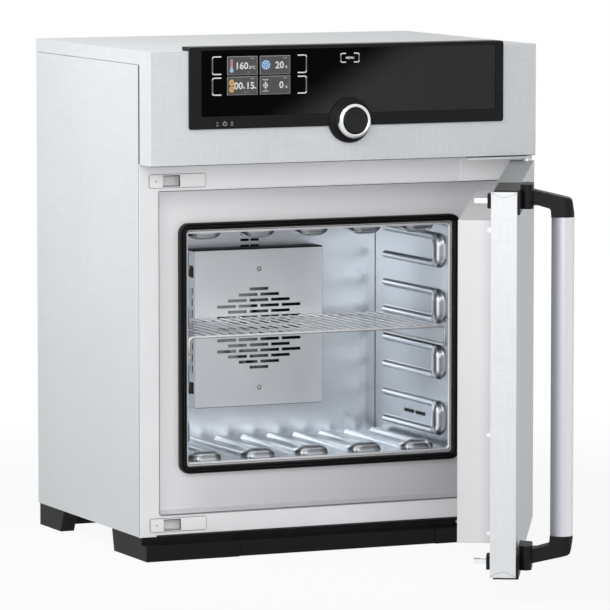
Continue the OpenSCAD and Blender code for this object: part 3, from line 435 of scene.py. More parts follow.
black_plastic = moulded("black_plastic", (0.005, 0.005, 0.006), 0.42, gloss=0.17)
foot_plastic = moulded("foot_plastic", (0.004, 0.004, 0.005), 0.45, gloss=0.14)
black_gloss = moulded("black_gloss", (0.006, 0.007, 0.009), 0.14, 900.0, 0.00001, gloss=0.25)
display_glass = smoked_glass("display_glass", (0.0006, 0.0006, 0.0007), (0.044, 0.044, 0.044))
seal_rubber = moulded("seal_rubber", (0.003, 0.003, 0.003), 0.42, 1500.0, 0.00005, gloss=0.22)
wool = moulded("mineral_wool", (0.55, 0.50, 0.36), 0.9, 240.0, 0.0015, 0.3)
board = moulded("circuit_board", (0.02, 0.13, 0.06), 0.45, 500.0, 0.0001, 0.8)
heater_strip = moulded("heater_strip", (0.32, 0.30, 0.28), 0.55, 700.0, 0.0001)
motor_grey = moulded("motor_grey", (0.20, 0.21, 0.22), 0.45, 900.0, 0.0001)

# %% [markdown]
# ## Finish and soften the solids
#
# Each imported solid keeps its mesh. On folded sheets and moulded parts, modifiers weld the loose
# triangles, join flat areas and round the edges with a narrow bevel, so they catch a line of light as
# bent sheet does.

# %% Give each solid its finish
finish_of_slot = {
    "brushed_steel": shell_steel,
    "smooth_steel": frame_steel,
    "chrome": chrome,
    "steel_rod": rod_steel,
    "black_plastic": black_plastic,
    "black_gloss": black_gloss,
    "display_glass": display_glass,
    "display": black_gloss,
    "rubber": seal_rubber,
    "mineral_wool": wool,
    "circuit_board": board,
    "heater": heater_strip,
    "motor": motor_grey,
}
finish_of_node = {
    "door_shell": door_steel,
    "top_cover": cover_steel,
    "door_plug": plug_steel,
    "chamber": chamber_steel,
    "air_baffle": baffle_steel,
}
for material, names in (
    (bolt_steel, "latch_hook_upper latch_hook_lower baffle_screws plug_screws"),
    (strike_steel, "strike_upper strike_lower hinge_bracket_upper"),
    (foot_plastic, "foot_front_left foot_front_right plinth_middle rear_plinth"),
):
    finish_of_node.update((name, material) for name in names.split())
slot_of_node = {part["node"]: part["material_slot"] for part in frame["record"]["subparts"]}
for name, solid in frame["nodes"].items():
    material = finish_of_node.get(name, finish_of_slot[slot_of_node[name]])
    for place in range(len(solid.material_slots)):
        solid.material_slots[place].material = material
    if not solid.material_slots:
        solid.data.materials.append(material)


def soften(names, width):
    """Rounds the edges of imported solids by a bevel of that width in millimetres."""
    for name in names.split():
        solid = frame["nodes"][name]
        weld = solid.modifiers.new("weld", "WELD")
        weld.merge_threshold = 0.00002
        flat = solid.modifiers.new("flat", "DECIMATE")
        flat.decimate_type = "DISSOLVE"
        flat.angle_limit = math.radians(0.5)
        bevel = solid.modifiers.new("bevel", "BEVEL")
        bevel.width = width * MM
        bevel.segments = 2
        bevel.limit_method = "ANGLE"
        bevel.angle_limit = math.radians(35)
        bevel.use_clamp_overlap = True
        bevel.harden_normals = True


soften("control_panel top_cover side_panel_left side_panel_right back_panel front_frame door_seat", 0.5)
soften("foot_front_left foot_front_right plinth_middle rear_plinth latch_boxes", 0.8)
soften("display_housing door_shell door_plug", 0.5)
print("solids finished:", len(frame["nodes"]))

# %% [markdown]
# ## Making pieces
#
# A detailed piece is a mesh made with bmesh operators, in the same frame as the solids. Each one rides on
# a body, stands for the solids that it replaces and gets its finish. A profile is carried
# along straight and turned stretches by extrude and spin, which makes rods, seals and rims.

# %% Make pieces and carry profiles
def piece(name, shape, material, body, replaces=(), turned=False, angle=40):
    """Turns a bmesh in millimetres into a finished piece; turned ones are drawn on the shut door."""
    bmesh.ops.remove_doubles(shape, verts=shape.verts, dist=0.01)
    bmesh.ops.recalc_face_normals(shape, faces=shape.faces)
    bmesh.ops.scale(shape, vec=(MM, MM, MM), verts=shape.verts)
    if turned:
        bmesh.ops.transform(shape, matrix=opening, verts=shape.verts)
    for face in shape.faces:
        face.smooth = True
    for edge in shape.edges:
        if len(edge.link_faces) == 2 and edge.calc_face_angle(0) > math.radians(angle):
            edge.smooth = False
    made = mesh_object(name, shape, material)
    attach(made, body)
    if replaces:
        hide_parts(*replaces)
    return made


def new_edges(geometry):
    """The edges of the last profile among what an operator returned."""
    verts = {item for item in geometry if isinstance(item, bmesh.types.BMVert)}
    edges = {edge for vert in verts for edge in vert.link_edges}
    return [edge for edge in edges if set(edge.verts) <= verts]


turn_steps = 6


def sweep(shape, profile, moves):
    """Carries profile edges along moves: a vector is a straight stretch, (centre, axis, angle) a turn."""
    for move in moves:
        if isinstance(move, Vector):
            made = bmesh.ops.extrude_edge_only(shape, edges=profile)["geom"]
            verts = [item for item in made if isinstance(item, bmesh.types.BMVert)]
            bmesh.ops.translate(shape, verts=verts, vec=move)
        else:
            centre, axis, angle = move
            verts = list({vert for edge in profile for vert in edge.verts})
            made = bmesh.ops.spin(shape, geom=verts + profile, cent=centre, axis=axis, angle=angle,
                                  steps=turn_steps)["geom_last"]
        profile = new_edges(made)
    return profile


def polyline(shape, points, closed=True):
    """Edges through points."""
    verts = [shape.verts.new(point) for point in points]
    pairs = list(zip(verts, verts[1:])) + ([(verts[-1], verts[0])] if closed else [])
    return [shape.edges.new(pair) for pair in pairs]


def swept_frame(shape, profile, half_x, half_z, radius, centre):
    """Carries a profile of (outwards, y) points round an upright rounded rectangle."""
    x, z = half_x - radius, half_z - radius
    up, left = Vector((0, 0, 1)), Vector((-1, 0, 0))
    edges = polyline(shape, [centre + Vector((half_x + out, y, -z)) for out, y in profile])
    corners = [centre + Vector(corner) for corner in ((x, 0, z), (-x, 0, z), (-x, 0, -z), (x, 0, -z))]
    runs = [up * 2 * z, left * 2 * x, -up * 2 * z, -left * 2 * x]
    moves = []
    for run, corner in zip(runs, corners):
        moves += [run, (corner, (0, 1, 0), -math.pi / 2)]
    sweep(shape, edges, moves)


def bent_rod(shape, points, radius, bend=6.0, sides=12):
    """A round rod through points, with a bend of that radius at each corner."""
    points = [Vector(point) for point in points]
    ways = [(b - a).normalized() for a, b in zip(points, points[1:])]
    turns = [way.angle(after) for way, after in zip(ways, ways[1:])]
    cuts = [0] + [bend * math.tan(turn / 2) for turn in turns] + [0]
    start = Matrix.Translation(points[0]) @ ways[0].to_track_quat("Z", "Y").to_matrix().to_4x4()
    ring = bmesh.ops.create_circle(shape, segments=sides, radius=radius, matrix=start)["verts"]
    first = list({edge for vert in ring for edge in vert.link_edges})
    moves = []
    for index, way in enumerate(ways):
        length = (points[index + 1] - points[index]).length - cuts[index] - cuts[index + 1]
        moves.append(way * length)
        if index < len(turns):
            after = ways[index + 1]
            inward = (after - way * after.dot(way)).normalized()
            centre = points[index + 1] - way * cuts[index + 1] + inward * bend
            moves.append((centre, way.cross(after).normalized(), turns[index]))
    last = sweep(shape, first, moves)
    for loop in (first, last):
        bmesh.ops.edgenet_fill(shape, edges=loop)


def lathe(shape, profile, centre, steps):
    """Spins a profile of (radius, height) points round an axis through centre that points to the front."""
    turn = Matrix.Rotation(math.pi / 2, 3, "X")
    centre = Vector(centre)
    points = [centre + turn @ Vector((radius, 0, height)) for radius, height in profile]
    edges = polyline(shape, points, False)
    verts = list({vert for edge in edges for vert in edge.verts})
    bmesh.ops.spin(shape, geom=verts + edges, cent=centre, axis=turn @ Vector((0, 0, 1)),
                   angle=2 * math.pi, steps=steps, use_merge=True)


def slab(shape, low, high, bevel=0.0, segments=2):
    """A block between two corners, with its edges rounded."""
    low, high = Vector(low), Vector(high)
    size = high - low
    place = Matrix.Translation((low + high) / 2) @ Matrix.Diagonal((*size, 1))
    verts = bmesh.ops.create_cube(shape, size=1, matrix=place)["verts"]
    if bevel:
        edges = list({edge for vert in verts for edge in vert.link_edges})
        bmesh.ops.bevel(shape, geom=edges, offset=bevel, segments=segments, affect="EDGES",
                        profile=0.5, material=-1)


print("helpers ready")

# %% [markdown]
# ## Ribbed chamber walls
#
# Each wall is one sheet with hairpins pressed into it: two half-round ribs, joined at the front by a wider
# and higher bend. A grid whose lines lie close together on the ribs is raised by a formula, which keeps
# the sheet in one piece, as the real pressing is. It stays a single skin, because only its inner side
# shows. Each vertex keeps a painted shade in a vertex attribute. On the ribs it follows the slope: painted
# shade on the flanks and a painted highlight on the crest. On the bends it is a few bands of painted
# reflection across, as the polished metal's reflections are in the photograph.

# %% Press hairpins into a sheet
chamber_x, chamber_z = 200.0, (126.2, 446.2)
chamber_y = (chamber_front / MM, 366.0)
bend_front, bend_width = 131.0, 28.0
rib_half, rib_height, bend_height = 4.9, 6.2, 12.0
# painted reflection on the bends: bands across, each with its end and its painted shade; below 0 is a painted
# highlight
painted_bend_reflections = ((0.10, 0.8), (0.22, -1), (0.28, 0.35), (0.40, -1), (0.45, 0.8), (0.62, -0.9), (0.8, 0.2),
              (1.0, 0.9))


def steps(*spans):
    """Places of grid lines from spans of (start, end, step)."""
    places = []
    for start, end, step in spans:
        count = max(1, round((end - start) / step))
        places += [start + (end - start) * index / count for index in range(count)]
    return places + [spans[-1][1]]


def inside(x, y, half_x, low_y, radius):
    """How far a place lies inside a shape that is open to the back and has two rounded front corners."""
    dx, dy = abs(x) - (half_x - radius), low_y + radius - y
    if dx > 0 and dy > 0:
        return radius - math.hypot(dx, dy)
    return radius - max(dx, dy)


def hairpin(x, y, leg_gap, back):
    """Height of the pressed sheet at x across the hairpin and y in depth, and its painted shade there."""
    outer = inside(x, y, leg_gap / 2 + rib_half, bend_front, 18)
    inner = -inside(x, y, leg_gap / 2 - rib_half, bend_front + bend_width, 6)
    if outer <= 0 or inner <= 0 or y >= back:
        return 0.0, 0.0
    width = outer + inner
    share = outer / width
    top = rib_height + min(max((width - 2 * rib_half) / 17, 0), 1) * (bend_height - rib_height)
    end = min((back - y) / 5, 1)
    arch = 4 * share * (1 - share)
    # painted shade on the flanks, stronger on the upper one, and a painted highlight on the crest
    upper = (share < 0.5) == (x > 0)
    shade = min(max((0.80 - arch) / 0.3, -0.8), 1) * (1 if upper else 0.45)
    if width > 2 * rib_half + 4:
        shade = next(band_shade for band_end, band_shade in painted_bend_reflections if share <= band_end)
    return top * arch ** 0.5 * math.sqrt(1 - (1 - end) ** 2), shade


def ribbed_wall(shape, centres, leg_gap, edges, back, place):
    """A grid with hairpins at the given centres, put in place by a function of across, depth, height."""
    spans, last = [], edges[0]
    for centre in centres:
        low, high = max(centre - leg_gap / 2 - 6, edges[0]), min(centre + leg_gap / 2 + 6, edges[1])
        if low > last:
            spans.append((last, low, 8))
        spans.append((low, high, 0.9))
        last = high
    if last < edges[1]:
        spans.append((last, edges[1], 8))
    across = steps(*spans)
    depth = steps((chamber_y[0], bend_front, 5), (bend_front, bend_front + 31, 1.1),
                  (bend_front + 31, back - 6, 12), (back - 6, back + 1, 0.8), (back + 1, chamber_y[1], 8))
    columns, rows = len(across) - 1, len(depth) - 1
    painted_shade = shape.verts.layers.float.get("painted_shade") or shape.verts.layers.float.new("painted_shade")
    grid = bmesh.ops.create_grid(shape, x_segments=columns, y_segments=rows, size=0.5)["verts"]
    for vert in grid:
        x = across[round((vert.co.x + 0.5) * columns)]
        y = depth[round((vert.co.y + 0.5) * rows)]
        nearest = min(centres, key=lambda centre: abs(centre - x))
        high, vert[painted_shade] = hairpin(x - nearest, y, leg_gap, back)
        vert.co = place(x, y, high)


side_gap, side_back, floor_gap, floor_back = 40, 333, 41, 343
side_centres = [chamber_z[0] + 40 + 80 * pair for pair in range(4)]
floor_centres = [82.0 * (pair - 2) for pair in range(5)]
walls = bmesh.new()
for side in (-1, 1):
    ribbed_wall(walls, side_centres, side_gap, chamber_z, side_back,
                lambda across, y, high: (side * (chamber_x - high), y, across))
piece("chamber_sides", walls, chamber_steel, "housing", angle=60)
walls = bmesh.new()
for z, way in zip(chamber_z, (1, -1)):
    ribbed_wall(walls, floor_centres, floor_gap, (-chamber_x, chamber_x), floor_back,
                lambda across, y, high: (across, y, z + way * high))
piece("chamber_floor_ceiling", walls, chamber_steel, "housing", ("chamber",), angle=60)
print("hairpins at", side_centres, floor_centres)

# %% [markdown]
# The back wall is a plain sheet. Air slots show above the baffle, in its left side and in the lowest
# hairpin of the right wall. They aren't cut out: they are small dark plates, set just in front of the
# sheet, and stand for the shade inside the holes. The dark lines in the back corners and round the baffle
# are such plates too, painted shade in the corners and in the gaps round the baffle. A bright rolled lip
# closes the chamber towards the seal.

# %% Close the back and roll the lip
back_wall = bmesh.new()
slab(back_wall, (-chamber_x, chamber_y[1], chamber_z[0]), (chamber_x, chamber_y[1] + 1, chamber_z[1]))
piece("chamber_back", back_wall, chamber_steel, "housing")

slots = bmesh.new()
for row in range(3):
    z = 400.5 + 8.8 * row
    for side in (-1, 1):
        slab(slots, (side * 7.7 - 6.7, 365.6, z), (side * 7.7 + 6.7, 366.2, z + 3.8), 0.25, 1)
for side in (-1, 1):
    slab(slots, (198.9, 228 + side * 19 - 15, 163.6), (200.2, 228 + side * 19 + 15, 168.4), 0.3, 1)
for z in (202.4, 370.0):
    slab(slots, (-100.3, 338, z - 8.3), (-99.7, 352, z + 8.3), 0.1)
for dash in range(8):
    slab(slots, (-100.3, 341, 225 + 16 * dash), (-99.7, 343.4, 235 + 16 * dash), 0.1)
# painted shade: dark lines in the back corners, then round the baffle's top, right side and foot
for corner in (-1, 1):
    slab(slots, (corner * 199.75 - 0.25, 365.2, 127), (corner * 199.75 + 0.25, 365.9, 445.5), 0.1)
slab(slots, (-100.6, 333, 399.9), (100.6, 366, 402.0), 0.1)
slab(slots, (99.8, 332.4, 174.4), (100.5, 333.6, 400), 0.1)
slab(slots, (-100, 332.4, 173.5), (100.5, 333.6, 174.3), 0.1)
piece("air_openings_and_shade", slots, black_plastic, "housing")

lip_steel = satin_steel("lip_steel", (0.90, 0.91, 0.93), 0.30, 0.6)
lip = bmesh.new()
lip_profile = [(0, 123), (0.3, 118.6), (1.2, 117.3), (2.4, 116.9), (3.5, 117.4), (4.1, 118.6), (4.3, 119.8),
               (5.3, 119.8), (5.3, 121), (1.2, 123)]
swept_frame(lip, lip_profile, chamber_x, 160, 4, opening_centre)
piece("chamber_lip", lip, lip_steel, "housing", angle=50)

# %% [markdown]
# ## Door seal
#
# The black seal is an extruded rubber profile with three soft ribs, bent round the opening. One closed
# profile is carried round a rounded rectangle.

# %% Carry the seal's profile round the opening
seal_width, seal_back, rib_foot = 9.7, 117.9, 112
rib_shape = ((-1.5, 2.6), (-1.2, 1.0), (-0.6, 0.2), (0, 0), (0.6, 0.2), (1.2, 1.0), (1.5, 2.6))
seal_profile = [(0, seal_back), (0, rib_foot)]
for rib, front in enumerate((107.4, 106.6, 107.4)):
    seal_profile += [(1.65 + 3.2 * rib + out, front + behind) for out, behind in rib_shape]
seal_profile += [(seal_width, rib_foot), (seal_width, seal_back)]
seal = bmesh.new()
swept_frame(seal, seal_profile, 205.3, 165.3, 4.5, opening_centre)
piece("door_seal", seal, seal_rubber, "housing", ("chamber_gasket",), angle=60)
print("seal carried round")

# %% [markdown]
# ## Wire shelf
#
# The shelf is bent and welded from bright rod: a heavy frame whose ends drop down to two side rods, and
# thin wires across its top. Each rod is a circle carried along its path. A vertex attribute paints a
# highlight on the upper sides of the rods and shade on the lower ones. The rods on the right side also
# get the right wall's painted shade.

# %% Bend the shelf
rail_x, rail_z, foot_z = 197, 300.7, 273.2
wire_z, wire_pitch, wires = rail_z + 1.6, 15.4, 25
shelf = bmesh.new()
for y in (122.2, 327.8):
    ends = [(-rail_x, foot_z), (-rail_x, rail_z), (rail_x, rail_z), (rail_x, foot_z)]
    bent_rod(shelf, [(x, y, z) for x, z in ends], 2.0)
for x in (-rail_x, rail_x):
    bent_rod(shelf, [(x, 120.3, 273.0), (x, 329.7, 273.0)], 2.0)
for wire in range(wires):
    x = wire_pitch * (wire - wires // 2)
    bent_rod(shelf, [(x, 120.6, wire_z), (x, 329.2, wire_z)], 1.3, sides=8)
bmesh.ops.remove_doubles(shelf, verts=shelf.verts, dist=0.01)
bmesh.ops.recalc_face_normals(shelf, faces=shelf.faces)
shelf.normal_update()
# painted highlight on the upper sides, painted shade on the lower ones
painted_shade = shelf.verts.layers.float.new("painted_shade")
for vert in shelf.verts:
    vert[painted_shade] = min(max(-0.15 - 1.3 * vert.normal.z, -0.6), 1)
piece("wire_shelf", shelf, rod_steel, "shelf", ("shelf",), angle=50)
print("shelf wires:", wires)

# %% [markdown]
# ## Display and keys
#
# The black glass carries printed key frames and a small screen with four tiles: temperature, fan, timer
# and flap. They are thin flat shapes in layers of less than a tenth of a millimetre in front of the glass.
# Flat print has no relief worth modelling, so each colour is one piece with its own softly lit finish: it glows a
# little, which on the screen is its own light and on the printed key frames and the key's signs a painted light.

# %% Write the finishes of the print
def print_colour(name, colour, glow):
    # glow: the screen's own light on the screen, a painted light on the printed frames and signs
    finish = Finish(name, Emission_Color=(*colour, 1), Emission_Strength=glow)
    where, _ = finish.place()
    grain = finish.noise(where, 2200, 1.0)
    finish.paint("Base Color", finish.mix(grain.fade(0.2, 0.8), shaded(colour, 0.86), colour))
    finish.paint("Roughness", grain * 0.15 + 0.30)
    return finish.material


white_print = print_colour("white_print", (0.72, 0.72, 0.72), 0.25)
faint_print = print_colour("faint_print", (0.62, 0.62, 0.63), 0.1)
tile_grey = print_colour("tile_grey", (0.062, 0.062, 0.068), 0.1)
tile_edge = print_colour("tile_edge", (0.34, 0.34, 0.35), 0.1)
icon_blue = print_colour("icon_blue", (0.30, 0.55, 0.82), 0.2)
icon_red = print_colour("icon_red", (0.75, 0.12, 0.10), 0.2)
icon_yellow = print_colour("icon_yellow", (0.85, 0.48, 0.08), 0.2)

# %% Draw the tiles, the key frames and the icons
glass_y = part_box("display_glass")[0].y / MM
print_layer = 0.08
to_front = Matrix.Rotation(math.pi / 2, 4, "X")


def flat(shape, x0, x1, z0, z1, layer=1, bevel=0.0):
    """A thin printed rectangle on the glass; a higher layer lies in front."""
    slab(shape, (x0, glass_y - print_layer * layer, z0), (x1, glass_y + 0.05, z1), bevel, 1)


def disc(shape, x, z, radius, layer=1, sides=20):
    place = Matrix.Translation((x, glass_y - print_layer * layer, z)) @ to_front
    bmesh.ops.create_circle(shape, cap_ends=True, segments=sides, radius=radius, matrix=place)


def ring(shape, x, z, outer, inner, layer=1, start=0.0, sweep_angle=2 * math.pi, steps=20):
    """A flat printed ring or arc; angles run from the top, clockwise."""
    centre = Vector((x, glass_y - print_layer * layer, z))
    way = Vector((math.sin(start), 0, math.cos(start)))
    edges = polyline(shape, [centre + way * inner, centre + way * outer], False)
    verts = list({vert for edge in edges for vert in edge.verts})
    bmesh.ops.spin(shape, geom=verts + edges, cent=centre, axis=(0, 1, 0), angle=sweep_angle, steps=steps)


def lettering(shape, words, height, x, z, layer=1, align="LEFT"):
    """Words as flat faces that look to the front, with their left end or centre at x and foot at z."""
    curve = bpy.data.curves.new("words", "FONT")
    curve.body = words
    curve.size = height / capital_share
    curve.align_x = align
    curve.resolution_u = 3
    curve.offset = 0.02 * curve.size if height > 3 else 0
    carrier = bpy.data.objects.new("words", curve)
    mesh = bpy.data.meshes.new_from_object(carrier)
    mesh.transform(Matrix.Translation((x, glass_y - print_layer * layer, z)) @ to_front)
    shape.from_mesh(mesh)
    bpy.data.objects.remove(carrier)
    bpy.data.curves.remove(curve)
    bpy.data.meshes.remove(mesh)


capital_share = 0.70
tiles, edges, whites, blues, reds, yellows = (bmesh.new() for _ in range(6))
columns, rows = ((-180.3, -135.2), (-131.6, -86.3)), ((670.3, 696.0), (643.0, 668.2))
for x0, x1 in columns:
    for z0, z1 in rows:
        flat(edges, x0, x1, z0, z1, 1)
        flat(tiles, x0 + 0.8, x1 - 0.7, z0 + 0.5, z1 - 0.9, 2)
        lettering(edges, "- - - -", 1.4, x0 + 15, z1 - 4.2, 3)
        flat(edges, x1 - 10, x1 - 5, z1 - 3.9, z1 - 2.6, 3)
big, line_z, small_line_z = 9.2, 8.2, 2.6
for shape, words, height, column, row, x, z in (
    (whites, "160", big, 0, 0, -33.5, line_z), (whites, "20", big, 1, 0, -22.5, line_z),
    (whites, "00", big, 0, 1, -35, line_z), (whites, "0", big, 1, 1, -16.5, line_z),
    (whites, "15", big, 0, 1, -17.5, line_z), (whites, ".0°C", 4.0, 0, 0, -13.5, line_z),
    (whites, "h", 3.6, 0, 1, -21.2, line_z), (whites, "m", 3.2, 0, 1, -5.4, line_z),
    (edges, "00:15", 2.2, 0, 1, -20, small_line_z), (edges, "160", 2.2, 0, 0, -16, small_line_z),
    (whites, "%", 3.4, 1, 0, -7.5, line_z), (whites, "%", 3.4, 1, 1, -7.5, line_z),
):
    lettering(shape, words, height, columns[column][1] + x, rows[row][0] + z, 3)

thermo_x, thermo_z = columns[0][0] + 6.5, rows[0][0]
flat(edges, thermo_x - 1.9, thermo_x + 1.9, thermo_z + 6, thermo_z + 21.6, 3, 0.04)
disc(edges, thermo_x, thermo_z + 6.4, 3.2, 3.2)
flat(reds, thermo_x - 1.1, thermo_x + 1.1, thermo_z + 11, thermo_z + 20.6, 4)
flat(blues, thermo_x - 1.1, thermo_x + 1.1, thermo_z + 6.4, thermo_z + 11, 4)
disc(blues, thermo_x, thermo_z + 6.4, 2.4, 4.2)
fan_x, fan_z = columns[1][0] + 9.0, rows[0][0] + 13.2
disc(blues, fan_x, fan_z, 6.4, 3, 28)
for blade in range(8):
    angle = blade * math.pi / 4 + 0.2
    disc(tiles, fan_x + 4.0 * math.sin(angle), fan_z + 4.0 * math.cos(angle), 0.95, 4, 10)
    disc(whites, fan_x + 5.2 * math.sin(angle + 0.4), fan_z + 5.2 * math.cos(angle + 0.4), 0.7, 4, 8)
disc(tiles, fan_x, fan_z, 1.1, 4.2, 12)
glass_x, glass_z = columns[0][0] + 6.6, rows[1][0] + 12.6
for end in (-1, 1):
    ring(yellows, glass_x, glass_z + end * 4.2, 3.8, 2.3, 3)
    disc(edges, glass_x, glass_z + end * 4.2, 2.0, 3.2, 14)
    flat(yellows, glass_x - 2.6, glass_x + 2.6, glass_z + end * 8.0 - 0.6, glass_z + end * 8.0 + 0.6, 3)
flap_x, flap_z = columns[1][0] + 8.4, rows[1][0] + 12.4
for end in (-1, 1):
    flat(whites, flap_x - 4.6, flap_x + 4.6, flap_z + end * 8.0 - 0.35, flap_z + end * 8.0 + 0.35, 3)
    flat(edges, flap_x - 3.2, flap_x + 3.2, flap_z + end * 6.6 - 0.3, flap_z + end * 6.6 + 0.3, 3)
ring(whites, flap_x, flap_z, 3.6, 2.7, 3)
flat(whites, flap_x - 0.5, flap_x + 0.5, flap_z - 5.6, flap_z + 5.6, 3)
flat(whites, flap_x - 2.6, flap_x + 2.6, flap_z - 0.5, flap_z + 0.5, 3)

# %% Print the key frames beside the screen and the menu key
def bracket(shape, x, reach, z0, z1, width, round_off):
    """A square bracket with rounded corners: its upright stands at x and its ends reach sideways."""
    way = 1 if reach > 0 else -1
    inner = x + way * width
    flat(shape, min(x, inner), max(x, inner), z0 + round_off, z1 - round_off)
    upper_start, lower_start = (-math.pi / 2, math.pi) if way > 0 else (0, math.pi / 2)
    for z, start in ((z1 - round_off, upper_start), (z0 + round_off, lower_start)):
        ring(shape, x + way * round_off, z, round_off, round_off - width, 1, start, math.pi / 2, 5)
    for z in (z0, z1 - width):
        flat(shape, min(x + way * round_off, x + reach), max(x + way * round_off, x + reach), z, z + width)


for z0, z1 in ((671.0, 696.7), (642.7, 667.6)):
    bracket(whites, -203, 14, z0, z1, 1.7, 3.4)
    bracket(whites, -61, -14, z0, z1, 1.7, 3.4)
bracket(whites, -10.6, 8.6, 683.8, 697.6, 1.6, 3.0)
bracket(whites, 18.7, -8.6, 683.8, 697.6, 1.6, 3.0)
lettering(whites, "MENU", 3.2, 4.0, 689.1, 1, "CENTER")
piece("screen_tiles", tiles, tile_grey, "housing", ("display_module",))
for name, shape, material in (
    ("screen_edges", edges, tile_edge),
    ("screen_white", whites, white_print),
    ("screen_blue", blues, icon_blue),
    ("screen_red", reds, icon_red),
    ("screen_yellow", yellows, icon_yellow),
):
    piece(name, shape, material, "housing")

# %% [markdown]
# ## On and standby key
#
# The key is a small black tongue in the housing's lower margin, with a standby sign and two tiny words.
# The helpers print on the plane glass_y, which now becomes the key's front.

# %% Print the key's signs
glass_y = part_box("power_key")[0].y / MM
standby_x, on_x, off_x = -184.6, -195.6, -173.9
signs = bmesh.new()
ring(signs, standby_x, 604.2, 3.0, 2.3, 1, 0.6, 2 * math.pi - 1.2)
flat(signs, standby_x - 0.35, standby_x + 0.35, 604.6, 607.9)
lettering(signs, "ON", 1.7, on_x, 601.2, 1, "CENTER")
lettering(signs, "OFF", 1.7, off_x, 601.2, 1, "CENTER")
ring(signs, on_x, 605.6, 1.0, 0.6, 1)
disc(signs, off_x, 605.6, 1.0, 1, 12)
piece("key_signs", signs, faint_print, "power_key")
print("signs printed on the key")

# %% [markdown]
# ## Turn knob
#
# A chromed ring with a black push button in it. Both are turned parts, so each is one profile, spun about
# the knob's axis, with rounded rims that catch the light.

# %% Turn the ring and the button
ring_low, ring_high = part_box("knob_ring")
knob = Vector(((ring_low.x + ring_high.x) / 2 / MM, 0, (ring_low.z + ring_high.z) / 2 / MM))
knob_front, knob_back = ring_low.y / MM, ring_high.y / MM


def turned_part(profile, front):
    """Spins a profile of (radius, depth behind its front) about the knob's axis."""
    shape = bmesh.new()
    lathe(shape, [(radius, -front - depth) for radius, depth in profile], knob, 64)
    return shape


depth = knob_back - knob_front
rim = [(18.0, depth), (18.0, 3.2), (18.2, 2.0), (18.8, 0.9), (19.6, 0.2), (20.6, 0), (21.9, 0.5),
       (23.1, 1.6), (24.0, 3.2), (24.4, 5.2), (24.5, 15), (23.6, 17), (23.6, depth), (18.0, depth)]
turned = turned_part(rim, knob_front)
piece("knob_chrome", turned, chrome, "turn_knob", ("knob_ring",), angle=60)
button = [(0.01, 0.9), (9.0, 0.75), (14.0, 0.35), (16.2, 0), (17.2, 0.4), (17.65, 1.4), (17.7, 3),
          (17.7, 21), (0.01, 21)]
turned = turned_part(button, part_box("knob_button")[0].y / MM)
piece("knob_push", turned, black_gloss, "confirm_button", ("knob_button",), angle=60)
print("knob turned about x", round(knob.x, 2), "z", round(knob.z, 2))

# %% [markdown]
# ## Seams, trims and strike rims
#
# Folded sheets meet in narrow dark joints. Each joint is a thin strip that lies a tenth of a millimetre
# proud of the sheet beside it: round the recess, down both front corners, along the panel's lower edge
# and round the strike plates. The strips round the recess and under the panel's lower edge are partly a
# joint and partly painted shade, as the recess's edge and the panel's overhang throw shade there. The
# plates' slots also have a dark outline, a painted shadow, and one bright rolled edge.

# %% Lay the seams
dark_seam_and_shade = moulded("dark_seam_and_shade", (0.035, 0.036, 0.04), 0.6, gloss=0.1)
seam_grey = moulded("seam_grey", (0.16, 0.165, 0.175), 0.6, gloss=0.1)
bright_edge = satin_steel("bright_edge", (0.97, 0.97, 0.98), 0.35, 0.2)

strikes = ("strike_lower", "strike_upper")
seams = bmesh.new()
# the joint round the recess, partly a painted shade along the recess's edge
recess_seam_and_shade = [(-0.4, 68.75), (0.45, 68.75), (0.45, 69.3), (-0.4, 69.3)]
swept_frame(seams, recess_seam_and_shade, 263.5, 224.0, 1.5, opening_centre)
for side in (-1, 1):
    slab(seams, (side * 291.85 - 0.75, 66.9, 549), (side * 291.85 + 0.75, 71.3, 684), 0.1)
# under the panel's lower edge: a joint and a painted shade
slab(seams, (-291.5, 28.2, 547.2), (291.5, 30.2, 548.1), 0.1)
slab(seams, (-291.8, 27.15, 547.3), (291.8, 28.2, 548.3), 0.2)
slab(seams, (-268.0, 68.2, 32.2), (290.0, 69.05, 34.4), 0.2)
piece("sheet_seams_and_shade", seams, dark_seam_and_shade, "housing")

seams = bmesh.new()
for side in (-1, 1):
    slab(seams, (side * 291.9 - 0.65, 70.3, 34), (side * 291.9 + 0.65, 71.8, 547), 0.1)
slab(seams, (-291.5, 68.6, 684.3), (291.5, 69.6, 685.1), 0.1)
slab(seams, (-262.0, 68.8, 60.5), (262.0, 69.1, 61.3), 0.1)
plate_seam = [(0, 68.1), (0.75, 68.6), (0.75, 69.1), (0, 69.1)]
for name in strikes:
    low, high = (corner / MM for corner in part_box(name))
    centre, half = (low + high) / 2, (high - low) / 2
    swept_frame(seams, plate_seam, half.x, half.z, 2.0, Vector((centre.x, 0, centre.z)))
    for x in (low.x + 9.5, high.x - 7.0):
        bmesh.ops.create_circle(seams, cap_ends=True, segments=16, radius=1.0,
                                matrix=Matrix.Translation((x, 68.1, centre.z)) @ to_front)
piece("plate_seams", seams, seam_grey, "housing")

rims = bmesh.new()
slots = bmesh.new()
for name in strikes:
    low, high = (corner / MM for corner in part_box(name))
    z = (low.z + high.z) / 2
    slab(rims, (-231.9, 67.5, z - 7.4), (-229.3, 68.5, z + 7.4), 0.4)
    # painted shadow: the dark outline of each slot
    for edge_z in (z - 7.2, z + 7.2):
        slab(slots, (-257.5, 67.9, edge_z - 0.55), (-232.3, 68.5, edge_z + 0.55), 0.15)
    slab(slots, (-233.6, 67.9, z - 7.2), (-232.2, 68.5, z + 7.2), 0.15)
piece("strike_rims", rims, bright_edge, "housing")
piece("strike_slot_shadows", slots, dark_seam_and_shade, "housing")
print("seams laid")

# %% [markdown]
# The sheet of the door's free edge ends above and below in a folded tab. Its outline is a thin dark line
# with a small dot at each end, drawn on the shut door and turned with it.

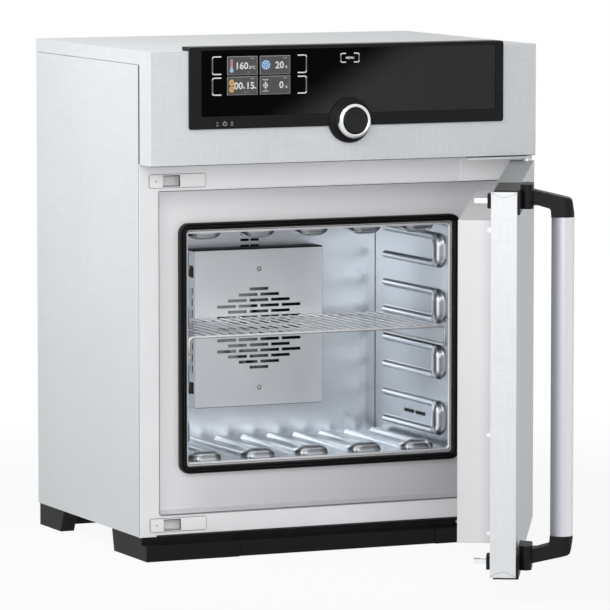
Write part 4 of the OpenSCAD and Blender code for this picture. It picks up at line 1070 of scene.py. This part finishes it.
# %% Draw the folded tabs at both ends of the door's free edge
shut_points = [opening.inverted() @ vert.co / MM for vert in frame["nodes"]["door_shell"].data.vertices]
edge_x = min(point.x for point in shut_points)
face_y, back_y = min(point.y for point in shut_points), max(point.y for point in shut_points)
tab_high, tab_steps = 5.5, 8
tabs = bmesh.new()
for tip, way in ((539.4, -1), (33.0, 1)):
    points = []
    for step in range(tab_steps + 1):
        y = face_y + 2 + (back_y - face_y - 4) * step / tab_steps
        points.append((edge_x, y, tip + way * (2 + tab_high * math.sin(math.pi * step / tab_steps))))
    bent_rod(tabs, points, 0.17, 0.4, 6)
    for point in (points[0], points[-1]):
        bmesh.ops.create_uvsphere(tabs, u_segments=10, v_segments=6, radius=0.7,
                                  matrix=Matrix.Translation(point))
piece("door_tabs", tabs, seam_grey, "door", turned=True)
print("door edge at x", round(edge_x, 1), "faces at y", round(face_y, 1), round(back_y, 1))

# %% [markdown]
# ## Screws of the baffle and painted shade behind its slots
#
# Each screw shows as a pale domed head with a dark crescent: the head is spun from one profile, and a dark
# ring, a painted shadow, lies a little to one side under it. A thin dark sheet of painted shade stands
# close behind the baffle's slots. The real baffle is open to the fan. The sheet gives the slots the dark
# look that they have in the photograph, with the paler patch on their left.

# %% Turn the baffle's screws with their painted shadows and hang the sheet of painted shade
head_profile = [(0.01, -330.1), (1.2, -330.3), (1.9, -330.9), (2.2, -331.9), (2.2, -340), (0.01, -340)]
screw_shadow_profile = [(2.1, -331.4), (3.1, -331.6), (3.3, -332.0), (2.1, -332.0)]
heads, screw_shadows = bmesh.new(), bmesh.new()
for z in (200.2, 372.2):
    lathe(heads, head_profile, (0, 0, z), 28)
    # painted shadow: a dark ring, set off to one side under each head
    lathe(screw_shadows, screw_shadow_profile, (0.4, 0, z - 0.4), 28)
piece("baffle_bolts", heads, bright_edge, "housing", ("baffle_screws",))
piece("baffle_screw_shadows", screw_shadows, dark_seam_and_shade, "housing")
slot_shade_sheet = bmesh.new()
slab(slot_shade_sheet, (-97.5, 333.6, 176.5), (97.5, 334.2, 398.0), 0.1)
# painted shade behind the slots, with a paler patch on the left
slot_shade = Finish("painted_slot_shade", Specular_IOR_Level=0.1)
where, (x, _, _) = slot_shade.place()
blot = slot_shade.noise(where, 34, 2.0)
grey = (0.012 - x).fade(-0.02, 0.05) * blot.fade(0.38, 0.5)
slot_shade.paint("Base Color", slot_shade.mix(grey, (0.004, 0.004, 0.005), (0.32, 0.34, 0.36)))
slot_shade.paint("Roughness", blot * 0.1 + 0.75)
piece("baffle_slot_shade", slot_shade_sheet, slot_shade.material, "housing")
print("baffle finished")

# %% [markdown]
# ## Handle tube
#
# The tube is ground steel. In the photograph its left side, which looks at the open door, is a darker
# grey, and its right side is nearly white. The lamps here don't give that, so it is painted across the
# tube, fixed to it, along the line from left to right in the photograph.

# %% Write the tube's finish
def tube_steel(name, colour):
    finish = Finish(name, Metallic=0.40)
    where, (x, y, _) = finish.place()
    low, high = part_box("handle_tube")
    centre, radius = (low + high) / 2, (high.x - low.x) / 2
    right_x, right_y = 0.914, 0.405
    across = (x - centre.x) * (right_x / radius) - (y - centre.y) * (right_y / radius)
    grain = finish.noise(finish.stretch(where, (60, 60, 1500)), 1.0, 2.0)
    shade = across.fade(-0.55, 0.85) * 0.94 + grain * 0.06
    finish.paint("Base Color", finish.mix(shade, shaded(colour, (0.46, 0.47, 0.52)), colour))
    finish.paint("Roughness", grain * 0.10 + 0.32)
    finish.bump(grain, 0.00002, 0.3)
    return finish.material


frame["nodes"]["handle_tube"].material_slots[0].material = tube_steel("tube_steel", (0.98, 0.98, 0.99))
print("tube finished")

# %% [markdown]
# ## Recess
#
# The recess is the same smooth sheet as the frame. In the photograph's light it is brighter on the left
# and greyer towards its foot. The gradients are painted to imitate that light.

# %% Write the finish of the recess
seat_steel = Finish("seat_steel", Metallic=0.2)
where, (x, y, z) = seat_steel.place()
grain = seat_steel.noise(seat_steel.stretch(where, (900, 900, 60)), 1.0, 2.0)
shade = x.fade(-0.25, 0.05) * 0.35 + (1 - z.fade(0.055, 0.19)) * 0.6 * x.fade(-0.27, -0.15) + grain * 0.05
seat_steel.paint("Base Color", seat_steel.mix(shade, (0.98, 0.975, 0.99), (0.66, 0.66, 0.69)))
seat_steel.paint("Roughness", grain * 0.08 + 0.42)
frame["nodes"]["door_seat"].material_slots[0].material = seat_steel.material
print("recess finished")
